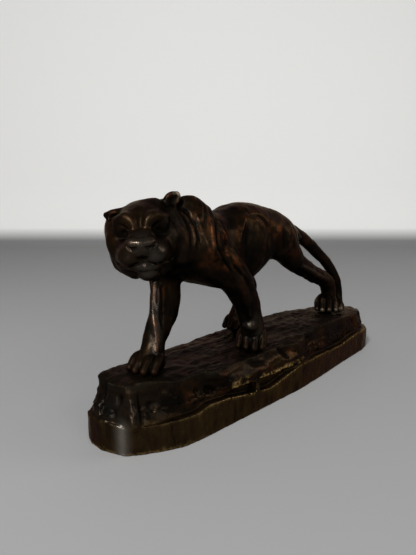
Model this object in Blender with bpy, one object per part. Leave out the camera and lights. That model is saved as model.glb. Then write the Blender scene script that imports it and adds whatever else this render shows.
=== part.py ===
"""Striding panther on a rocky base, one bronze casting.

Metres, +Z up. The head is towards -X, the animal's left flank towards -Y,
and the origin is at the bottom centre of the base.
"""
import math

import bmesh
import bpy
import numpy as np
import openvdb

# Base, in metres
BASE_LENGTH = 0.360
BASE_WIDTH = 0.091
BAND_HEIGHT = 0.0205
ROCK_HEIGHT = 0.045
ROCK_SETBACK = 0.0055
LEDGE_HEIGHT = 0.0305
LEDGE_THICKNESS = 0.0045
HOLLOW_WALL = 0.0065
HOLLOW_DEPTH = 0.026
HOLLOW_TAPER = 0.009

# Body, in metres and degrees
BODY_LENGTH = 0.150
BACK_HEIGHT = 0.119
BODY_WIDTH = 0.054
SHOULDER_WIDTH = 0.062
HAUNCH_WIDTH = 0.058
HUMP_RISE = 0.0055
FORELEG_THICKNESS = 0.0225
HIND_LEG_THICKNESS = 0.019
PAW_LENGTH = 0.037
PAW_WIDTH = 0.027
PAW_HEIGHT = 0.0155
PAW_TURN = 29.0
TAIL_THICKNESS = 0.0115
NECK_THICKNESS = 0.050
STRAND_PITCH = 0.0085
STRAND_RISE = 0.0009

# Head, in metres and degrees
HEAD_LENGTH = 0.062
HEAD_WIDTH = 0.052
HEAD_HEIGHT = 0.056
HEAD_TURN = 50.0
HEAD_DROP = 12.0
HEAD_ROLL = 5.0
EAR_HEIGHT = 0.017
EYE_SPACING = 0.027
MUZZLE_WIDTH = 0.031

# Fineness of the modelled surface
CELL = 1.5
TRIANGLES = 11400
MM = 0.001
FAR = 60.0


class Clay:
    """A block of distances to the surface, in millimetres, that forms are blended into."""

    def __init__(self, low, high, cell):
        self.cell = cell
        self.low = np.array(low, float)
        count = np.ceil((np.array(high, float) - self.low) / cell).astype(int) + 1
        self.axes = [self.low[i] + cell * np.arange(count[i]) for i in range(3)]
        self.value = np.full(tuple(count), FAR, np.float32)

    def region(self, low, high):
        spans = []
        for i in range(3):
            first = max(int(np.searchsorted(self.axes[i], low[i])) - 1, 0)
            last = int(np.searchsorted(self.axes[i], high[i])) + 1
            spans.append(slice(first, last))
        x = self.axes[0][spans[0]][:, None, None]
        y = self.axes[1][spans[1]][None, :, None]
        z = self.axes[2][spans[2]][None, None, :]
        return tuple(spans), x, y, z

    def join(self, spans, distance, blend):
        old = self.value[spans]
        near = np.maximum(blend - np.abs(old - distance), 0.0) / blend
        self.value[spans] = np.minimum(old, distance) - near * near * blend / 4.0

    def carve(self, spans, distance, blend):
        old = self.value[spans]
        near = np.maximum(blend - np.abs(old + distance), 0.0) / blend
        self.value[spans] = np.maximum(old, -distance) + near * near * blend / 4.0

    def limb(self, points, blend=4.0, flat=1.0, carve=False):
        """A tapered round limb through (x, y, z, radius) points; flat narrows it along Y."""
        path = smooth_path(points)
        reach = path[:, 3].max() + blend + 2.0 * self.cell
        low = path[:, :3].min(axis=0) - reach
        high = path[:, :3].max(axis=0) + reach
        spans, x, y, z = self.region(low, high)
        best = None
        for a, b in zip(path[:-1], path[1:]):
            run = b[:3] - a[:3]
            along = (x - a[0]) * run[0] + (y - a[1]) * run[1] + (z - a[2]) * run[2]
            t = np.clip(along / max(run @ run, 1e-6), 0.0, 1.0)
            dx = x - a[0] - t * run[0]
            dy = (y - a[1] - t * run[1]) / flat
            dz = z - a[2] - t * run[2]
            distance = np.sqrt(dx * dx + dy * dy + dz * dz) - (a[3] + t * (b[3] - a[3]))
            best = distance if best is None else np.minimum(best, distance)
        (self.carve if carve else self.join)(spans, best, blend)

    def lump(self, centre, radii, blend=4.0, axes=None, carve=False):
        """An ellipsoid; axes holds its three directions as the columns of a matrix."""
        axes = np.eye(3) if axes is None else axes
        radii = np.array(radii, float)
        reach = np.abs(axes) @ radii + blend + 2.0 * self.cell
        spans, x, y, z = self.region(np.array(centre) - reach, np.array(centre) + reach)
        dx, dy, dz = x - centre[0], y - centre[1], z - centre[2]
        scaled = 0.0
        graded = 0.0
        for i in range(3):
            part = dx * axes[0, i] + dy * axes[1, i] + dz * axes[2, i]
            scaled = scaled + (part / radii[i]) ** 2
            graded = graded + (part / radii[i] ** 2) ** 2
        scaled = np.sqrt(scaled)
        distance = scaled * (scaled - 1.0) / np.maximum(np.sqrt(graded), 1e-6)
        (self.carve if carve else self.join)(spans, distance, blend)


def smooth_path(points, steps=4):
    """Points on a smooth curve through the given ones, radius included."""
    given = np.array(points, float)
    if len(given) < 3:
        return given
    ends = np.vstack([2 * given[0] - given[1], given, 2 * given[-1] - given[-2]])
    path = []
    for i in range(1, len(ends) - 2):
        p0, p1, p2, p3 = ends[i - 1:i + 3]
        for t in np.arange(steps) / steps:
            path.append(0.5 * (2 * p1 + (p2 - p0) * t + (2 * p0 - 5 * p1 + 4 * p2 - p3) * t ** 2
                               + (3 * p1 - p0 - 3 * p2 + p3) * t ** 3))
    path.append(given[-1])
    path = np.array(path)
    path[:, 3] = np.maximum(path[:, 3], given[:, 3].min())
    return path


def place(x, y, z):
    """A point of the body: lengths follow BODY_LENGTH, heights above the rock follow BACK_HEIGHT."""
    return (x * BODY_LENGTH / 0.150, y, ROCK_HEIGHT / MM + (z - 45.0) * BACK_HEIGHT / 0.119)


# Base

# Half outlines of the base seen from above, near side then far side, in millimetres
NEAR_EDGE = [(-180, 11), (-180, -1), (-177, -9), (-173, -18.5), (-163, -26), (-151, -32.5), (-139, -38),
             (-126, -40), (-61, -43), (-6, -45.5), (31, -44.5), (77, -42), (133, -40), (150, -37),
             (166, -27), (176, -13)]
FAR_EDGE = [(180, 2), (176, 21), (166, 33), (148, 40), (110, 43.5), (20, 45.5), (-60, 44.5), (-112, 41),
            (-147, 36.5), (-167.5, 27), (-177.5, 19)]
# Height of the band along the near side, as a share of its usual height
BAND_WAVE = [(-180, 1.08), (-172, 0.95), (-158, 0.95), (-140, 1.01), (-126, 1.02), (-116, 1.14),
             (-97, 1.08), (-85, 0.97), (-66, 0.82), (-48, 0.72), (-35, 0.83), (-21, 0.98), (-8, 1.1),
             (31, 1.11), (53, 1.03), (77, 0.98), (103, 1.08), (118, 1.15), (150, 1.04), (180, 1.0)]
# How far the top edge of the rock lies inside the outline, near side
SHOULDER = [(-180, 5), (-168, 6), (-155, 11), (-130, 14), (-100, 12), (-70, 9), (-40, 8), (-14, 6),
            (8, 6), (22, 13), (80, 12), (130, 10), (150, 9), (180, 9)]
# Share of the usual groove between the band and the rock, near side: it closes at the boulder
GROOVE = [(-180, 1.0), (-24, 1.0), (-12, 0.3), (8, 0.3), (20, 1.1), (180, 1.0)]


def outline():
    long = BASE_LENGTH / 0.360
    wide = BASE_WIDTH / 0.091
    return [(x * long, y * wide) for x, y in NEAR_EDGE + FAR_EDGE]


def follow(pairs, x):
    """Height or width along the base, read off a list of (x, value) at this length of base."""
    long = BASE_LENGTH / 0.360
    return np.interp(x, [p[0] * long for p in pairs], [p[1] for p in pairs])


def inside_distance(points, x, y):
    """Signed distance to a closed outline, negative inside."""
    best = np.full(np.broadcast(x, y).shape, 1e9)
    inside = np.zeros(best.shape, bool)
    for (ax, ay), (bx, by) in zip(points, points[1:] + points[:1]):
        rx, ry = bx - ax, by - ay
        t = np.clip(((x - ax) * rx + (y - ay) * ry) / (rx * rx + ry * ry), 0.0, 1.0)
        best = np.minimum(best, np.hypot(x - ax - t * rx, y - ay - t * ry))
        crosses = (ay > y) != (by > y)
        side = (bx - ax) * (y - ay) / ((by - ay) if by != ay else 1e-9) + ax
        inside ^= crosses & (x < side)
    return np.where(inside, -best, best)


def add_base(clay):
    top = ROCK_HEIGHT / MM
    band = BAND_HEIGHT / MM
    setback = ROCK_SETBACK / MM
    reach = (BASE_LENGTH / MM / 2 + 6, BASE_WIDTH / MM / 2 + 6)
    spans, x, y, z = clay.region((-reach[0], -reach[1], -12), (reach[0], reach[1], top + 14))
    edge = inside_distance(outline(), x, y)
    near = y < 0
    plain = 1.0 + 0.06 * np.sin(x / 21.0) * np.sin(x / 9.0 + 1.0)
    band_top = band * np.where(near, follow(BAND_WAVE, x), plain)
    plinth = np.maximum(edge, z - band_top)

    # Rock: its side leans in from the band to the rounded top edge
    far_shoulder = 11.0 - 3.2 * np.clip((-x - 125.0) / 30.0, 0, 1) + 8.0 * np.clip((x - 70.0) / 60.0, 0, 1)
    shoulder = np.where(near, follow(SHOULDER, x), far_shoulder)
    lean = np.clip((z - band) / (top - band), 0.0, 1.0)
    bulge = 1.3 * np.sin(x / 12.0 + 2.0) * np.sin(z / 6.0 + x / 30.0) + 0.8 * np.sin(x / 5.5 + z / 4.0)
    # Toward the front its foot flares out over the band
    end_x = -BASE_LENGTH / MM / 2
    front = np.clip((end_x + 40.0 - x) / 16.0, 0, 1)
    groove = setback * np.where(near, follow(GROOVE, x), 1.0) * (1.0 - 0.75 * front)
    slope = lean ** 1.5 * (1.0 - front) + (1.0 - (1.0 - lean) ** 2.2) * front
    inset = groove + (shoulder - groove) * slope - bulge * lean * (1 - lean) * 2.0
    grain = 0.45 * np.sin(y / 1.9 + 0.8 * np.sin(x / 17.0)) + 0.35 * np.sin(y / 3.1 + x / 33.0)
    swell = 1.2 * np.sin(x / 31.0 + 0.6) + 0.9 * np.sin(x / 14.0 + y / 10.0)
    crown = top - 1.2 + swell * 0.6 + grain * 0.5 - 5.0 * np.clip((x - 95.0) / 80.0, 0, 1)
    crown = crown + 1.8 * np.clip((-x - 140.0) / 20.0, 0, 1)
    crown = crown - 1.8 * np.clip((y - 14.0) / 14.0, 0, 1)
    distance = np.maximum((edge + inset) * 0.9, z - crown)
    near_top = np.maximum(2.4 - np.abs((edge + inset) * 0.9 - (z - crown)), 0.0) / 2.4
    distance = distance + near_top * near_top * 0.6
    clay.join(spans, plinth, 0.8)
    clay.join(spans, distance, 1.2)

    # Folds of rock at the front end, placed from the band's end, side and top
    wide = BASE_WIDTH / MM / 2
    clay.limb([(end_x + 15.5, 30.5 - wide, top - 5.0, 2.6), (end_x + 14.5, 28.0 - wide, (top + band) / 2 - 1.0, 3.6),
               (end_x + 13.0, 25.0 - wide, band + 1.0, 4.4)], 3.0)
    clay.lump((end_x + 8.5, -3.0, band + 3.0), (5.5, 5.0, 4.5), 3.0)
    clay.lump((end_x + 8.0, 8.0, band + 4.5), (5.0, 5.0, 5.5), 3.0)
    clay.limb([(end_x + 6.5, 3.0, band + 12.0, 1.6), (end_x + 4.0, 2.0, band + 4.0, 1.4)], 2.0, 1.0, True)

    # Ledge: a lip of rock that reaches out over the band on the near side
    long = BASE_LENGTH / 0.360
    lip = LEDGE_HEIGHT / MM
    thick = LEDGE_THICKNESS / MM
    start, end = -112.0 * long, 6.0 * long
    lip_top = lip + 3.0 * np.clip((-70.0 * long - x) / 42.0, 0, 1) - 2.0 * np.clip((x + 30.0 * long) / 36.0, 0, 1)
    rise = lip_top + np.clip(-edge, 0, 20) * 1.6
    fade = np.minimum(np.clip((x - start) / 14.0, 0, 1), np.clip((end - x) / 12.0, 0, 1))
    wave = 0.7 * np.sin(x / 6.0) + 0.5 * np.sin(x / 2.7)
    out = edge + 1.0 + wave * 0.4 + 9.0 * (1 - fade)
    ledge = np.maximum(np.maximum(out, z - np.minimum(rise, crown)), lip_top - thick - z)
    ledge = np.where(near, ledge, FAR)
    clay.join(spans, ledge, 1.5)

    # Drip of metal from the ledge down to the band
    clay.limb([(-66 * long, -41.0, lip - 1.5, 2.2), (-64 * long, -41.6, 23, 1.9), (-63 * long, -41.4, 14, 2.2)], 2.0)


# Animal

def add_torso(clay):
    """Trunk from the chest to the rump: top line, belly line and half width along its length."""
    top_line = [(-128, 152), (-118, 158), (-104, 163), (-94, 160), (-84, 155.5), (-75, 154.5), (-64, 158), (-55, 161.5),
                (-46, 163.7), (-36, 164), (-22, 162.4), (-8, 160.6), (6, 156.8), (20, 150), (32, 142.5),
                (42, 134)]
    low_line = [(-128, 128), (-118, 116), (-106, 106), (-92, 101), (-74, 97), (-58, 94), (-44, 94), (-32, 98.5),
                (-20, 105.5), (-8, 113.5), (6, 121), (18, 123), (32, 124), (42, 127)]
    width = [(-128, 0.60), (-112, 0.86), (-90, 0.97), (-60, 1.0), (-30, 1.0), (-14, 0.92), (2, 0.78),
             (16, 0.74), (32, 0.6), (42, 0.4)]
    start = place(-128, 0, 0)[0]
    end = place(42, 0, 0)[0]
    half = BODY_WIDTH / MM / 2
    low = (start - 12, -half - 14, place(0, 0, 80)[2])
    high = (end + 12, half + 14, place(0, 0, 178)[2])
    spans, x, y, z = clay.region(low, high)
    along = np.clip(x, start, end)
    top = smooth_line(top_line, along)
    bottom = smooth_line(low_line, along)
    wide = half * np.interp(along, [place(p[0], 0, 0)[0] for p in width], [p[1] for p in width])
    middle = (top + bottom) / 2
    tall = (top - bottom) / 2
    # Egg section, fuller above the middle than below it
    level = (z - middle) / tall
    wide = wide * (1.0 - 0.10 * np.clip(-level, 0, 1.2))
    beyond = (x - along) / 10.0
    scaled = np.sqrt(np.abs(y / wide) ** 2.2 + np.abs(level) ** 2.2 + beyond ** 2)
    distance = (scaled - 1.0) * np.minimum(wide, tall)
    clay.join(spans, distance, 6.0)


def add_flanks(clay):
    """Rib cage, the hollow behind it and the fold of skin before the thigh."""
    half = BODY_WIDTH / MM / 2
    for side in (-1, 1):
        clay.lump(place(-47, side * (half - 9.5), 130), (15, 12.5, 23), 5.0)
        clay.limb(body_points([(-52, side * (half - 7.5), 150, 3.5), (-43, side * (half - 4.5), 147, 4.0),
                               (-37.5, side * (half - 2.5), 139, 4.2), (-38.5, side * (half - 2.5), 128, 4.2),
                               (-44, side * (half - 4.5), 119, 3.5)]), 4.0)
        clay.lump(place(-25, side * (half + 7.5), 141), (6.0, 9, 17), 4.0, None, True)
        clay.lump(place(-34, side * (half + 6.5), 154), (9, 9, 3.5), 4.0, None, True)
        # Crescent cut above and behind the ribs
        clay.limb(body_points([(-50, side * (half - 5.0), 154.5, 1.8), (-40, side * (half - 4.5), 153.0, 2.6),
                               (-32.5, side * (half - 2.0), 146.0, 3.0), (-31.5, side * (half + 0.4), 135.0, 3.0),
                               (-35.5, side * (half + 0.2), 123.0, 2.4)]), 2.0, 1.0, True)
        clay.lump(place(-64, side * (half + 12.5), 140), (3.5, 13, 12), 5.0, None, True)


def add_strands(clay):
    """Long strands of coat that run down from the shoulder blades and along the neck."""
    rise = STRAND_RISE / MM
    pitch = STRAND_PITCH / MM
    spans, x, y, z = clay.region(place(-140, -40, 90), place(-52, 40, 176))
    middle = place(-96, 0, 136)
    drop = middle[2] + 26.0 - z
    across = x - middle[0] - 0.24 * drop - 0.004 * drop * np.abs(drop)
    wave = np.sin(2 * math.pi * across / pitch + 0.9 * np.sin(z / 13.0))
    fade = 1.0 - ((x - middle[0]) / 34.0) ** 2 - ((z - middle[2]) / 36.0) ** 2
    fade = np.clip(fade * 2.0, 0.0, 1.0) * np.clip((np.abs(y) - 6.0) / 8.0, 0.0, 1.0)
    near = np.clip(1.0 - np.abs(clay.value[spans]) / 8.0, 0.0, 1.0)
    clay.value[spans] -= rise * wave * fade * near


def smooth_line(pairs, x):
    given = [place(p[0], 0, p[1]) for p in pairs]
    path = smooth_path([(p[0], 0, p[2], 0) for p in given], 5)
    return np.interp(x, path[:, 0], path[:, 2])


def body_points(points, scale=1.0):
    return [place(x, y, z) + (r * scale,) for x, y, z, r in points]


def add_shoulders(clay):
    wide = SHOULDER_WIDTH / MM / 62.0
    hump = HUMP_RISE / MM
    for side in (-1, 1):
        # Shoulder blade that stands above the back, then the upper arm and the chest muscle
        fall = 0.0 if side < 0 else 5.0
        blade = [(-110, side * 10 * wide, 156.0 + hump - fall, 6.2),
                 (-105, side * 11 * wide, 153.0 + hump - fall, 7.8),
                 (-98, side * 18 * wide, 143.0, 11.0), (-100, side * 20.5 * wide, 131.0, 12.0)]
        clay.limb(body_points(blade), 9.0)
        arm = [(-108, side * 19 * wide, 130, 11.5), (-98, side * 19.5 * wide, 120, 12.0),
               (-86 if side < 0 else -108, side * 17 * wide, 112, 11.5)]
        clay.limb(body_points(arm), 7.0)
    clay.lump(place(-116, -2, 124), (13, 15, 15), 9.0)
    clay.lump(place(-122, 5, 138), (14, 17, 18), 9.0)


def add_foreleg(clay, points):
    thick = FORELEG_THICKNESS / MM / 22.5
    clay.limb(body_points(points, thick), 5.0, 0.92)


def add_forelegs(clay):
    # Near foreleg, planted back under the shoulder
    add_foreleg(clay, [(-84, -22, 117, 14.5), (-73, -24, 107, 13.5), (-65, -24.5, 97, 12.2),
                       (-58.5, -24.5, 86, 11.3), (-54, -24.5, 75, 10.6), (-50, -24.5, 64, 10.4),
                       (-48, -24.5, 56, 10.0)])
    add_paw(clay, (-50.0, -25.0), PAW_TURN, 1.2)
    # Far foreleg, reaching forward
    add_foreleg(clay, [(-112, 12, 124, 15.0), (-115, 8, 110, 12.8), (-116.5, 5, 97, 11.6),
                       (-119.5, 4, 84, 11.2), (-125.5, 3, 74, 9.8), (-131, 1.5, 65, 8.7),
                       (-134.5, 0, 57, 9.2)])
    add_paw(clay, (-140.5, -2.5), PAW_TURN - 9.0, 0.8)


def add_haunches(clay):
    wide = HAUNCH_WIDTH / MM / 58.0
    for side in (-1, 1):
        clay.lump(place(-1, side * 13.5 * wide, 131), (20, 12.5, 17.5), 7.0)
        clay.lump(place(12, side * 8 * wide, 132), (11, 9, 12), 6.0)


def add_hind_legs(clay):
    thick = HIND_LEG_THICKNESS / MM / 19.0
    # Near hind leg, stretched back
    near = [(5, -14, 129, 16.0), (15, -14.5, 119, 13.2), (29, -13.5, 108.8, 10.6), (50, -12, 99.6, 9.2),
            (72, -9, 91, 8.6), (94, -7, 84, 8.8), (108, -6, 76, 8.8), (113, -6, 66, 8.6),
            (116, -5, 56, 8.6)]
    clay.limb(body_points(near, thick), 5.0, 0.9)
    add_paw(clay, (107.0, -7.0), PAW_TURN, 1.1)
    # Far hind leg, brought forward
    far = [(0, 14, 134, 15), (-9, 17, 119, 13.5), (-15, 19, 105, 11.5), (-6, 19.5, 92, 10),
           (0, 20, 84, 9), (-6, 20, 75, 8.2), (-12, 20, 66, 7.6), (-17, 20, 56, 8.4)]
    clay.limb(body_points(far, thick), 5.0, 0.9)
    add_paw(clay, (-15.5, 19.0), 12.0, 0.9)


def add_paw(clay, spot, turn, arch=1.0):
    """A paw that stands on the rock; turn is its heading from -X towards the near side, arch its instep."""
    length, width, height = PAW_LENGTH / MM, PAW_WIDTH / MM, PAW_HEIGHT / MM
    ground = ROCK_HEIGHT / MM
    angle = math.radians(turn)
    ahead = np.array([-math.cos(angle), -math.sin(angle), 0.0])
    left = np.array([math.sin(angle), -math.cos(angle), 0.0])
    axes = np.stack([ahead, left, [0.0, 0.0, 1.0]], axis=1)
    base = np.array(place(spot[0], spot[1], 46.0))
    base[2] = ground
    clay.lump(base + ahead * -0.06 * length + [0, 0, 0.32 * height],
              (0.33 * length, 0.41 * width, 0.50 * height), 3.0, axes)
    for across, forward in [(-0.34, 0.02), (-0.118, 0.10), (0.118, 0.10), (0.34, 0.02)]:
        root = base + left * across * 0.62 * width + ahead * (forward - 0.20) * length
        bend = base + left * across * width + ahead * forward * length
        tip = base + left * across * 1.06 * width + ahead * (forward + 0.20) * length
        thick = 0.118 * width
        clay.limb([tuple(root + [0, 0, 0.86 * height * arch]) + (thick,),
                   tuple(bend + [0, 0, 0.33 * height * (1 + arch)]) + (thick * 1.05,),
                   tuple(tip + [0, 0, 0.24 * height]) + (thick * 0.92,)], 0.9)


def add_tail(clay):
    thick = TAIL_THICKNESS / MM / 11.5
    tail = [(14, 0, 144, 8.0), (30, 0, 140.5, 6.9), (50, 0, 134.0, 6.3), (74, 0, 123.0, 6.2),
            (94, 0, 111.5, 6.2), (111, -1, 100.5, 6.0), (125, -2, 88.5, 5.7), (135, -3, 76, 5.3),
            (139.5, -4, 65, 5.0), (139.5, -5, 56, 4.8), (136, -8, 50.5, 4.5), (130, -13, 48, 4.3),
            (122, -17, 47.5, 4.1), (114, -19.5, 48.5, 3.8)]
    clay.limb(body_points(tail, thick), 2.0)


def head_axes():
    """Directions of the head: forward, its left, and up."""
    turn, drop, roll = math.radians(HEAD_TURN), math.radians(HEAD_DROP), math.radians(HEAD_ROLL)
    ahead = np.array([-math.cos(turn) * math.cos(drop), -math.sin(turn) * math.cos(drop), -math.sin(drop)])
    left = np.array([math.sin(turn), -math.cos(turn), 0.0])
    up = np.cross(ahead, left)
    left, up = left * math.cos(roll) + up * math.sin(roll), up * math.cos(roll) - left * math.sin(roll)
    return np.stack([ahead, left, up], axis=1)


HEAD_SPOT = (-139.5, 0.0, 143.5)


def add_head(clay):
    axes = head_axes()
    centre = np.array(place(*HEAD_SPOT))
    length = HEAD_LENGTH / MM / 62.0
    width = HEAD_WIDTH / MM / 52.0
    height = HEAD_HEIGHT / MM / 56.0
    muzzle = MUZZLE_WIDTH / MM / 31.0
    eye = EYE_SPACING / MM / 2
    ear = EAR_HEIGHT / MM / 17.0

    def at(ahead, left, up):
        return centre + axes @ np.array([ahead * length, left, up * height])

    def bead(ahead, left, up, radius):
        return tuple(at(ahead, left, up)) + (radius,)

    def blob(ahead, left, up, radii, blend=3.0, carve=False):
        size = (radii[0] * length, radii[1], radii[2] * height)
        clay.lump(at(ahead, left, up), size, blend, axes, carve)

    # Neck and ruff
    thick = NECK_THICKNESS / MM / 2
    chest = place(-104, 0, 141)
    clay.limb([tuple(chest) + (thick,), bead(-20, 0, -6, thick * 0.88), bead(-6, 0, -6, thick * 0.8)], 8.0)
    # Skull, forehead, cheekbones, cheeks and jaw
    blob(-2, 0, 2, (22, 20.0 * width, 18.6), 6.0)
    blob(-3, 8.5, 8, (13, 10 * width, 13.2), 5.0)
    blob(9, 0, 7, (14, 15.5 * width, 12), 4.0)
    for side in (-1, 1):
        blob(3, side * 17 * width, -6, (14, 8.0 * width, 13), 4.0)
        blob(-6, side * 18.5 * width, -11, (11, 7.2 * width, 17), 4.0)
        blob(-7, side * 18.2 * width, 3, (11, 7.2 * width, 12), 4.0)
        clay.limb([bead(3, side * 14.5 * width, -18.5, 8.8), bead(18, side * 7 * width, -20, 6.5)], 4.0)
        clay.limb([bead(21, side * 8.5 * muzzle, 0.6, 3.0), bead(14, side * 14.5 * width, 0.2, 3.0)], 3.0)
    # Ruff that stands out where the neck bends on the left
    clay.limb([bead(-1, 20 * width, 11, 4.5), bead(1.5, 23.5 * width, 4, 5.5), bead(4, 25.5 * width, -4, 6.0),
               bead(6, 26.5 * width, -12, 6.0), bead(7, 24 * width, -19, 5.5)], 4.0)
    # Muzzle: broad flat bridge, lip pads and lower jaw
    for side in (-1, 1):
        clay.limb([bead(10, side * 3.5 * muzzle, 6.5, 8.0), bead(24, side * 3.6 * muzzle, 1.9, 6.4),
                   bead(32.6, side * 4.6 * muzzle, 0.5, 4.9)], 3.0)
        blob(25.0, side * 7.6 * muzzle, -6.8, (11.5, 8.4 * muzzle, 8.2), 4.0)
        blob(17, side * 10.0 * muzzle, -8.8, (12, 7.8 * muzzle, 9.2), 4.0)
        blob(9, side * 12.0 * muzzle, -13.5, (14, 7.5 * muzzle, 9.0), 3.5)
    blob(23.5, 1.6 * muzzle, -19.0, (10.0, 7.6 * muzzle, 7.0), 3.0)
    blob(27.4, 0.6 * muzzle, -13.8, (6.4, 9.8 * muzzle, 3.8), 2.5)
    blob(27.5, 0, -8.6, (6.6, 5.0 * muzzle, 5.0), 2.5)
    # Nose leather: wide above, narrowing to the lip
    for side in (-1, 1):
        blob(34.0, side * 4.9 * muzzle, 1.8, (3.7, 4.2 * muzzle, 3.6), 1.8)
    blob(35.6, 0, 1.8, (3.6, 5.8 * muzzle, 3.4), 1.6)
    blob(34.6, 0, -2.2, (3.6, 5.2 * muzzle, 4.8), 1.8)
    # Mouth line, cleft of the lip and nostrils
    for side in (-1, 1):
        clay.limb([bead(35.4, 0, -10.6, 1.0), bead(34.0, side * 5.6 * muzzle, -11.4, 1.0),
                   bead(27.6, side * 12.0 * muzzle, -12.6, 1.0), bead(18, side * 17.4 * muzzle, -14.4, 0.9)],
                  1.2, 1.0, True)
        clay.limb([bead(38.6, side * 3.0, 0.4, 1.1), bead(37.5, side * 5.6, -0.4, 1.4),
                   bead(35.2, side * 8.0, 1.4, 1.0)], 1.2, 1.0, True)
        # Deep eye sockets under a heavy brow, each with its eyeball
        blob(19.5, side * eye * 0.96, 6.6, (7.5, 6.4, 5.8), 2.5, True)
        blob(12.6, side * eye * 0.96, 6.4, (4.8, 4.6, 4.2), 1.4)
        clay.limb([bead(19.5, side * 4.6, 12.0, 3.0), bead(16.5, side * 9.5, 14.0, 3.2),
                   bead(10.0, side * 15.5 * width, 11.5, 2.8)], 4.0)
    clay.limb([bead(38.0, 0, -5.6, 0.8), bead(35.6, 0, -8.4, 1.2), bead(34.6, 0, -10.8, 1.0)], 1.2, 1.0, True)
    clay.limb([bead(25.0, 0, 12.0, 2.0), bead(19, 0, 17.5, 2.2), bead(11, 0, 23.2, 2.0)], 3.0, 1.0, True)
    # Ears: the right one laid flat, the left one raised, both hollow in front
    clay.limb([bead(-3, -12 * width, 12.0, 4.8), bead(-4.5, -18 * width, 12.4, 4.0),
               bead(-5.5, -23.6 * width, 12.3, 2.3)], 2.0)
    clay.lump(at(0.5, -18.5 * width, 11.5), (2.6, 4.0 * ear, 2.4 * ear), 1.5, axes, True)
    middle = at(-5.0, 21.0 * width, 18.8)
    rise = axes @ np.array([-0.25, 0.78, 0.58])
    rise = rise / np.linalg.norm(rise)
    face = axes[:, 0] - rise * (axes[:, 0] @ rise)
    face = face / np.linalg.norm(face)
    ear_axes = np.stack([face, np.cross(rise, face), rise], axis=1)
    clay.lump(middle, (3.6, 4.9 * ear, 7.2 * ear), 2.5, ear_axes)
    clay.lump(middle + face * 3.8 + rise * 1.2, (3.0, 3.6 * ear, 5.2 * ear), 1.2, ear_axes, True)


def build_clay(cell):
    far_point = place(166, 0, 176)
    low = (-BASE_LENGTH / MM / 2 - 6, -BASE_WIDTH / MM / 2 - 10, -9.0)
    high = (max(BASE_LENGTH / MM / 2 + 6, far_point[0]), BASE_WIDTH / MM / 2 + 10, far_point[2] + 12)
    clay = Clay(low, high, cell)
    add_torso(clay)
    add_flanks(clay)
    add_shoulders(clay)
    add_haunches(clay)
    add_strands(clay)
    add_forelegs(clay)
    add_hind_legs(clay)
    add_tail(clay)
    add_head(clay)
    add_base(clay)
    return clay


def surface(clay, name):
    grid = openvdb.FloatGrid(FAR)
    grid.copyFromArray(clay.value)
    points, quads = grid.convertToQuads()
    points = (points * clay.cell + clay.low) * MM
    mesh = bpy.data.meshes.new(name)
    mesh.from_pydata(points.tolist(), [], quads.tolist())
    mesh.update()
    return mesh


def cutter(name, mesh):
    thing = bpy.data.objects.new(name, mesh)
    thing.hide_render = True
    thing.display_type = "WIRE"
    bpy.context.collection.objects.link(thing)
    return thing


def box_mesh(name, low, high):
    mesh = bpy.data.meshes.new(name)
    form = bmesh.new()
    bmesh.ops.create_cube(form, size=1.0)
    for vertex in form.verts:
        for i in range(3):
            vertex.co[i] = low[i] if vertex.co[i] < 0 else high[i]
    form.to_mesh(mesh)
    form.free()
    return mesh


def inset_outline(inset):
    """The outline moved inwards by the same distance all round, in metres."""
    points = [np.array(p) * MM for p in outline()]
    moved = []
    for before, here, after in zip(points[-1:] + points[:-1], points, points[1:] + points[:1]):
        first = (here - before) / np.linalg.norm(here - before)
        second = (after - here) / np.linalg.norm(after - here)
        inward_a = np.array([-first[1], first[0]])
        inward_b = np.array([-second[1], second[0]])
        moved.append(here + inset * (inward_a + inward_b) / (1.0 + inward_a @ inward_b))
    return moved


def hollow_mesh(name):
    """Tapered pocket under the base: its mouth lies a wall's width inside the outline."""
    form = bmesh.new()
    loops = []
    for inset, height in ((HOLLOW_WALL, -0.004), (HOLLOW_WALL, 0.002),
                          (HOLLOW_WALL + HOLLOW_TAPER, HOLLOW_DEPTH)):
        loops.append([form.verts.new((p[0], p[1], height)) for p in inset_outline(inset)])
    count = len(loops[0])
    for lower, upper in zip(loops[:-1], loops[1:]):
        for k in range(count):
            form.faces.new((lower[k], lower[(k + 1) % count], upper[(k + 1) % count], upper[k]))
    form.faces.new(loops[0][::-1])
    form.faces.new(loops[-1])
    bmesh.ops.recalc_face_normals(form, faces=form.faces)
    mesh = bpy.data.meshes.new(name)
    form.to_mesh(mesh)
    form.free()
    return mesh


def bronze():
    material = bpy.data.materials.new("dark_bronze")
    material.use_nodes = True
    skin = material.node_tree.nodes["Principled BSDF"]
    skin.inputs["Base Color"].default_value = (0.060, 0.038, 0.024, 1.0)
    skin.inputs["Metallic"].default_value = 0.9
    skin.inputs["Roughness"].default_value = 0.34
    return material


def main():
    for thing in list(bpy.data.objects):
        bpy.data.objects.remove(thing, do_unlink=True)
    clay = build_clay(CELL)
    mesh = surface(clay, "panther_bronze")
    mesh.materials.append(bronze())
    panther = bpy.data.objects.new("panther_bronze", mesh)
    bpy.context.collection.objects.link(panther)
    thin = panther.modifiers.new("fewer_faces", "DECIMATE")
    thin.ratio = TRIANGLES / (2.0 * len(mesh.polygons))
    edge = BASE_LENGTH
    table = cutter("table_cut", box_mesh("table_cut", (-edge, -edge, -0.05), (edge, edge, 0.0)))
    hollow = cutter("hollow_cut", hollow_mesh("hollow_cut"))
    for name, tool in (("flat_foot", table), ("hollow_foot", hollow)):
        cut = panther.modifiers.new(name, "BOOLEAN")
        cut.operation = "DIFFERENCE"
        cut.solver = "EXACT"
        cut.object = tool
    return panther


if __name__ == "__main__":
    main()
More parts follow.
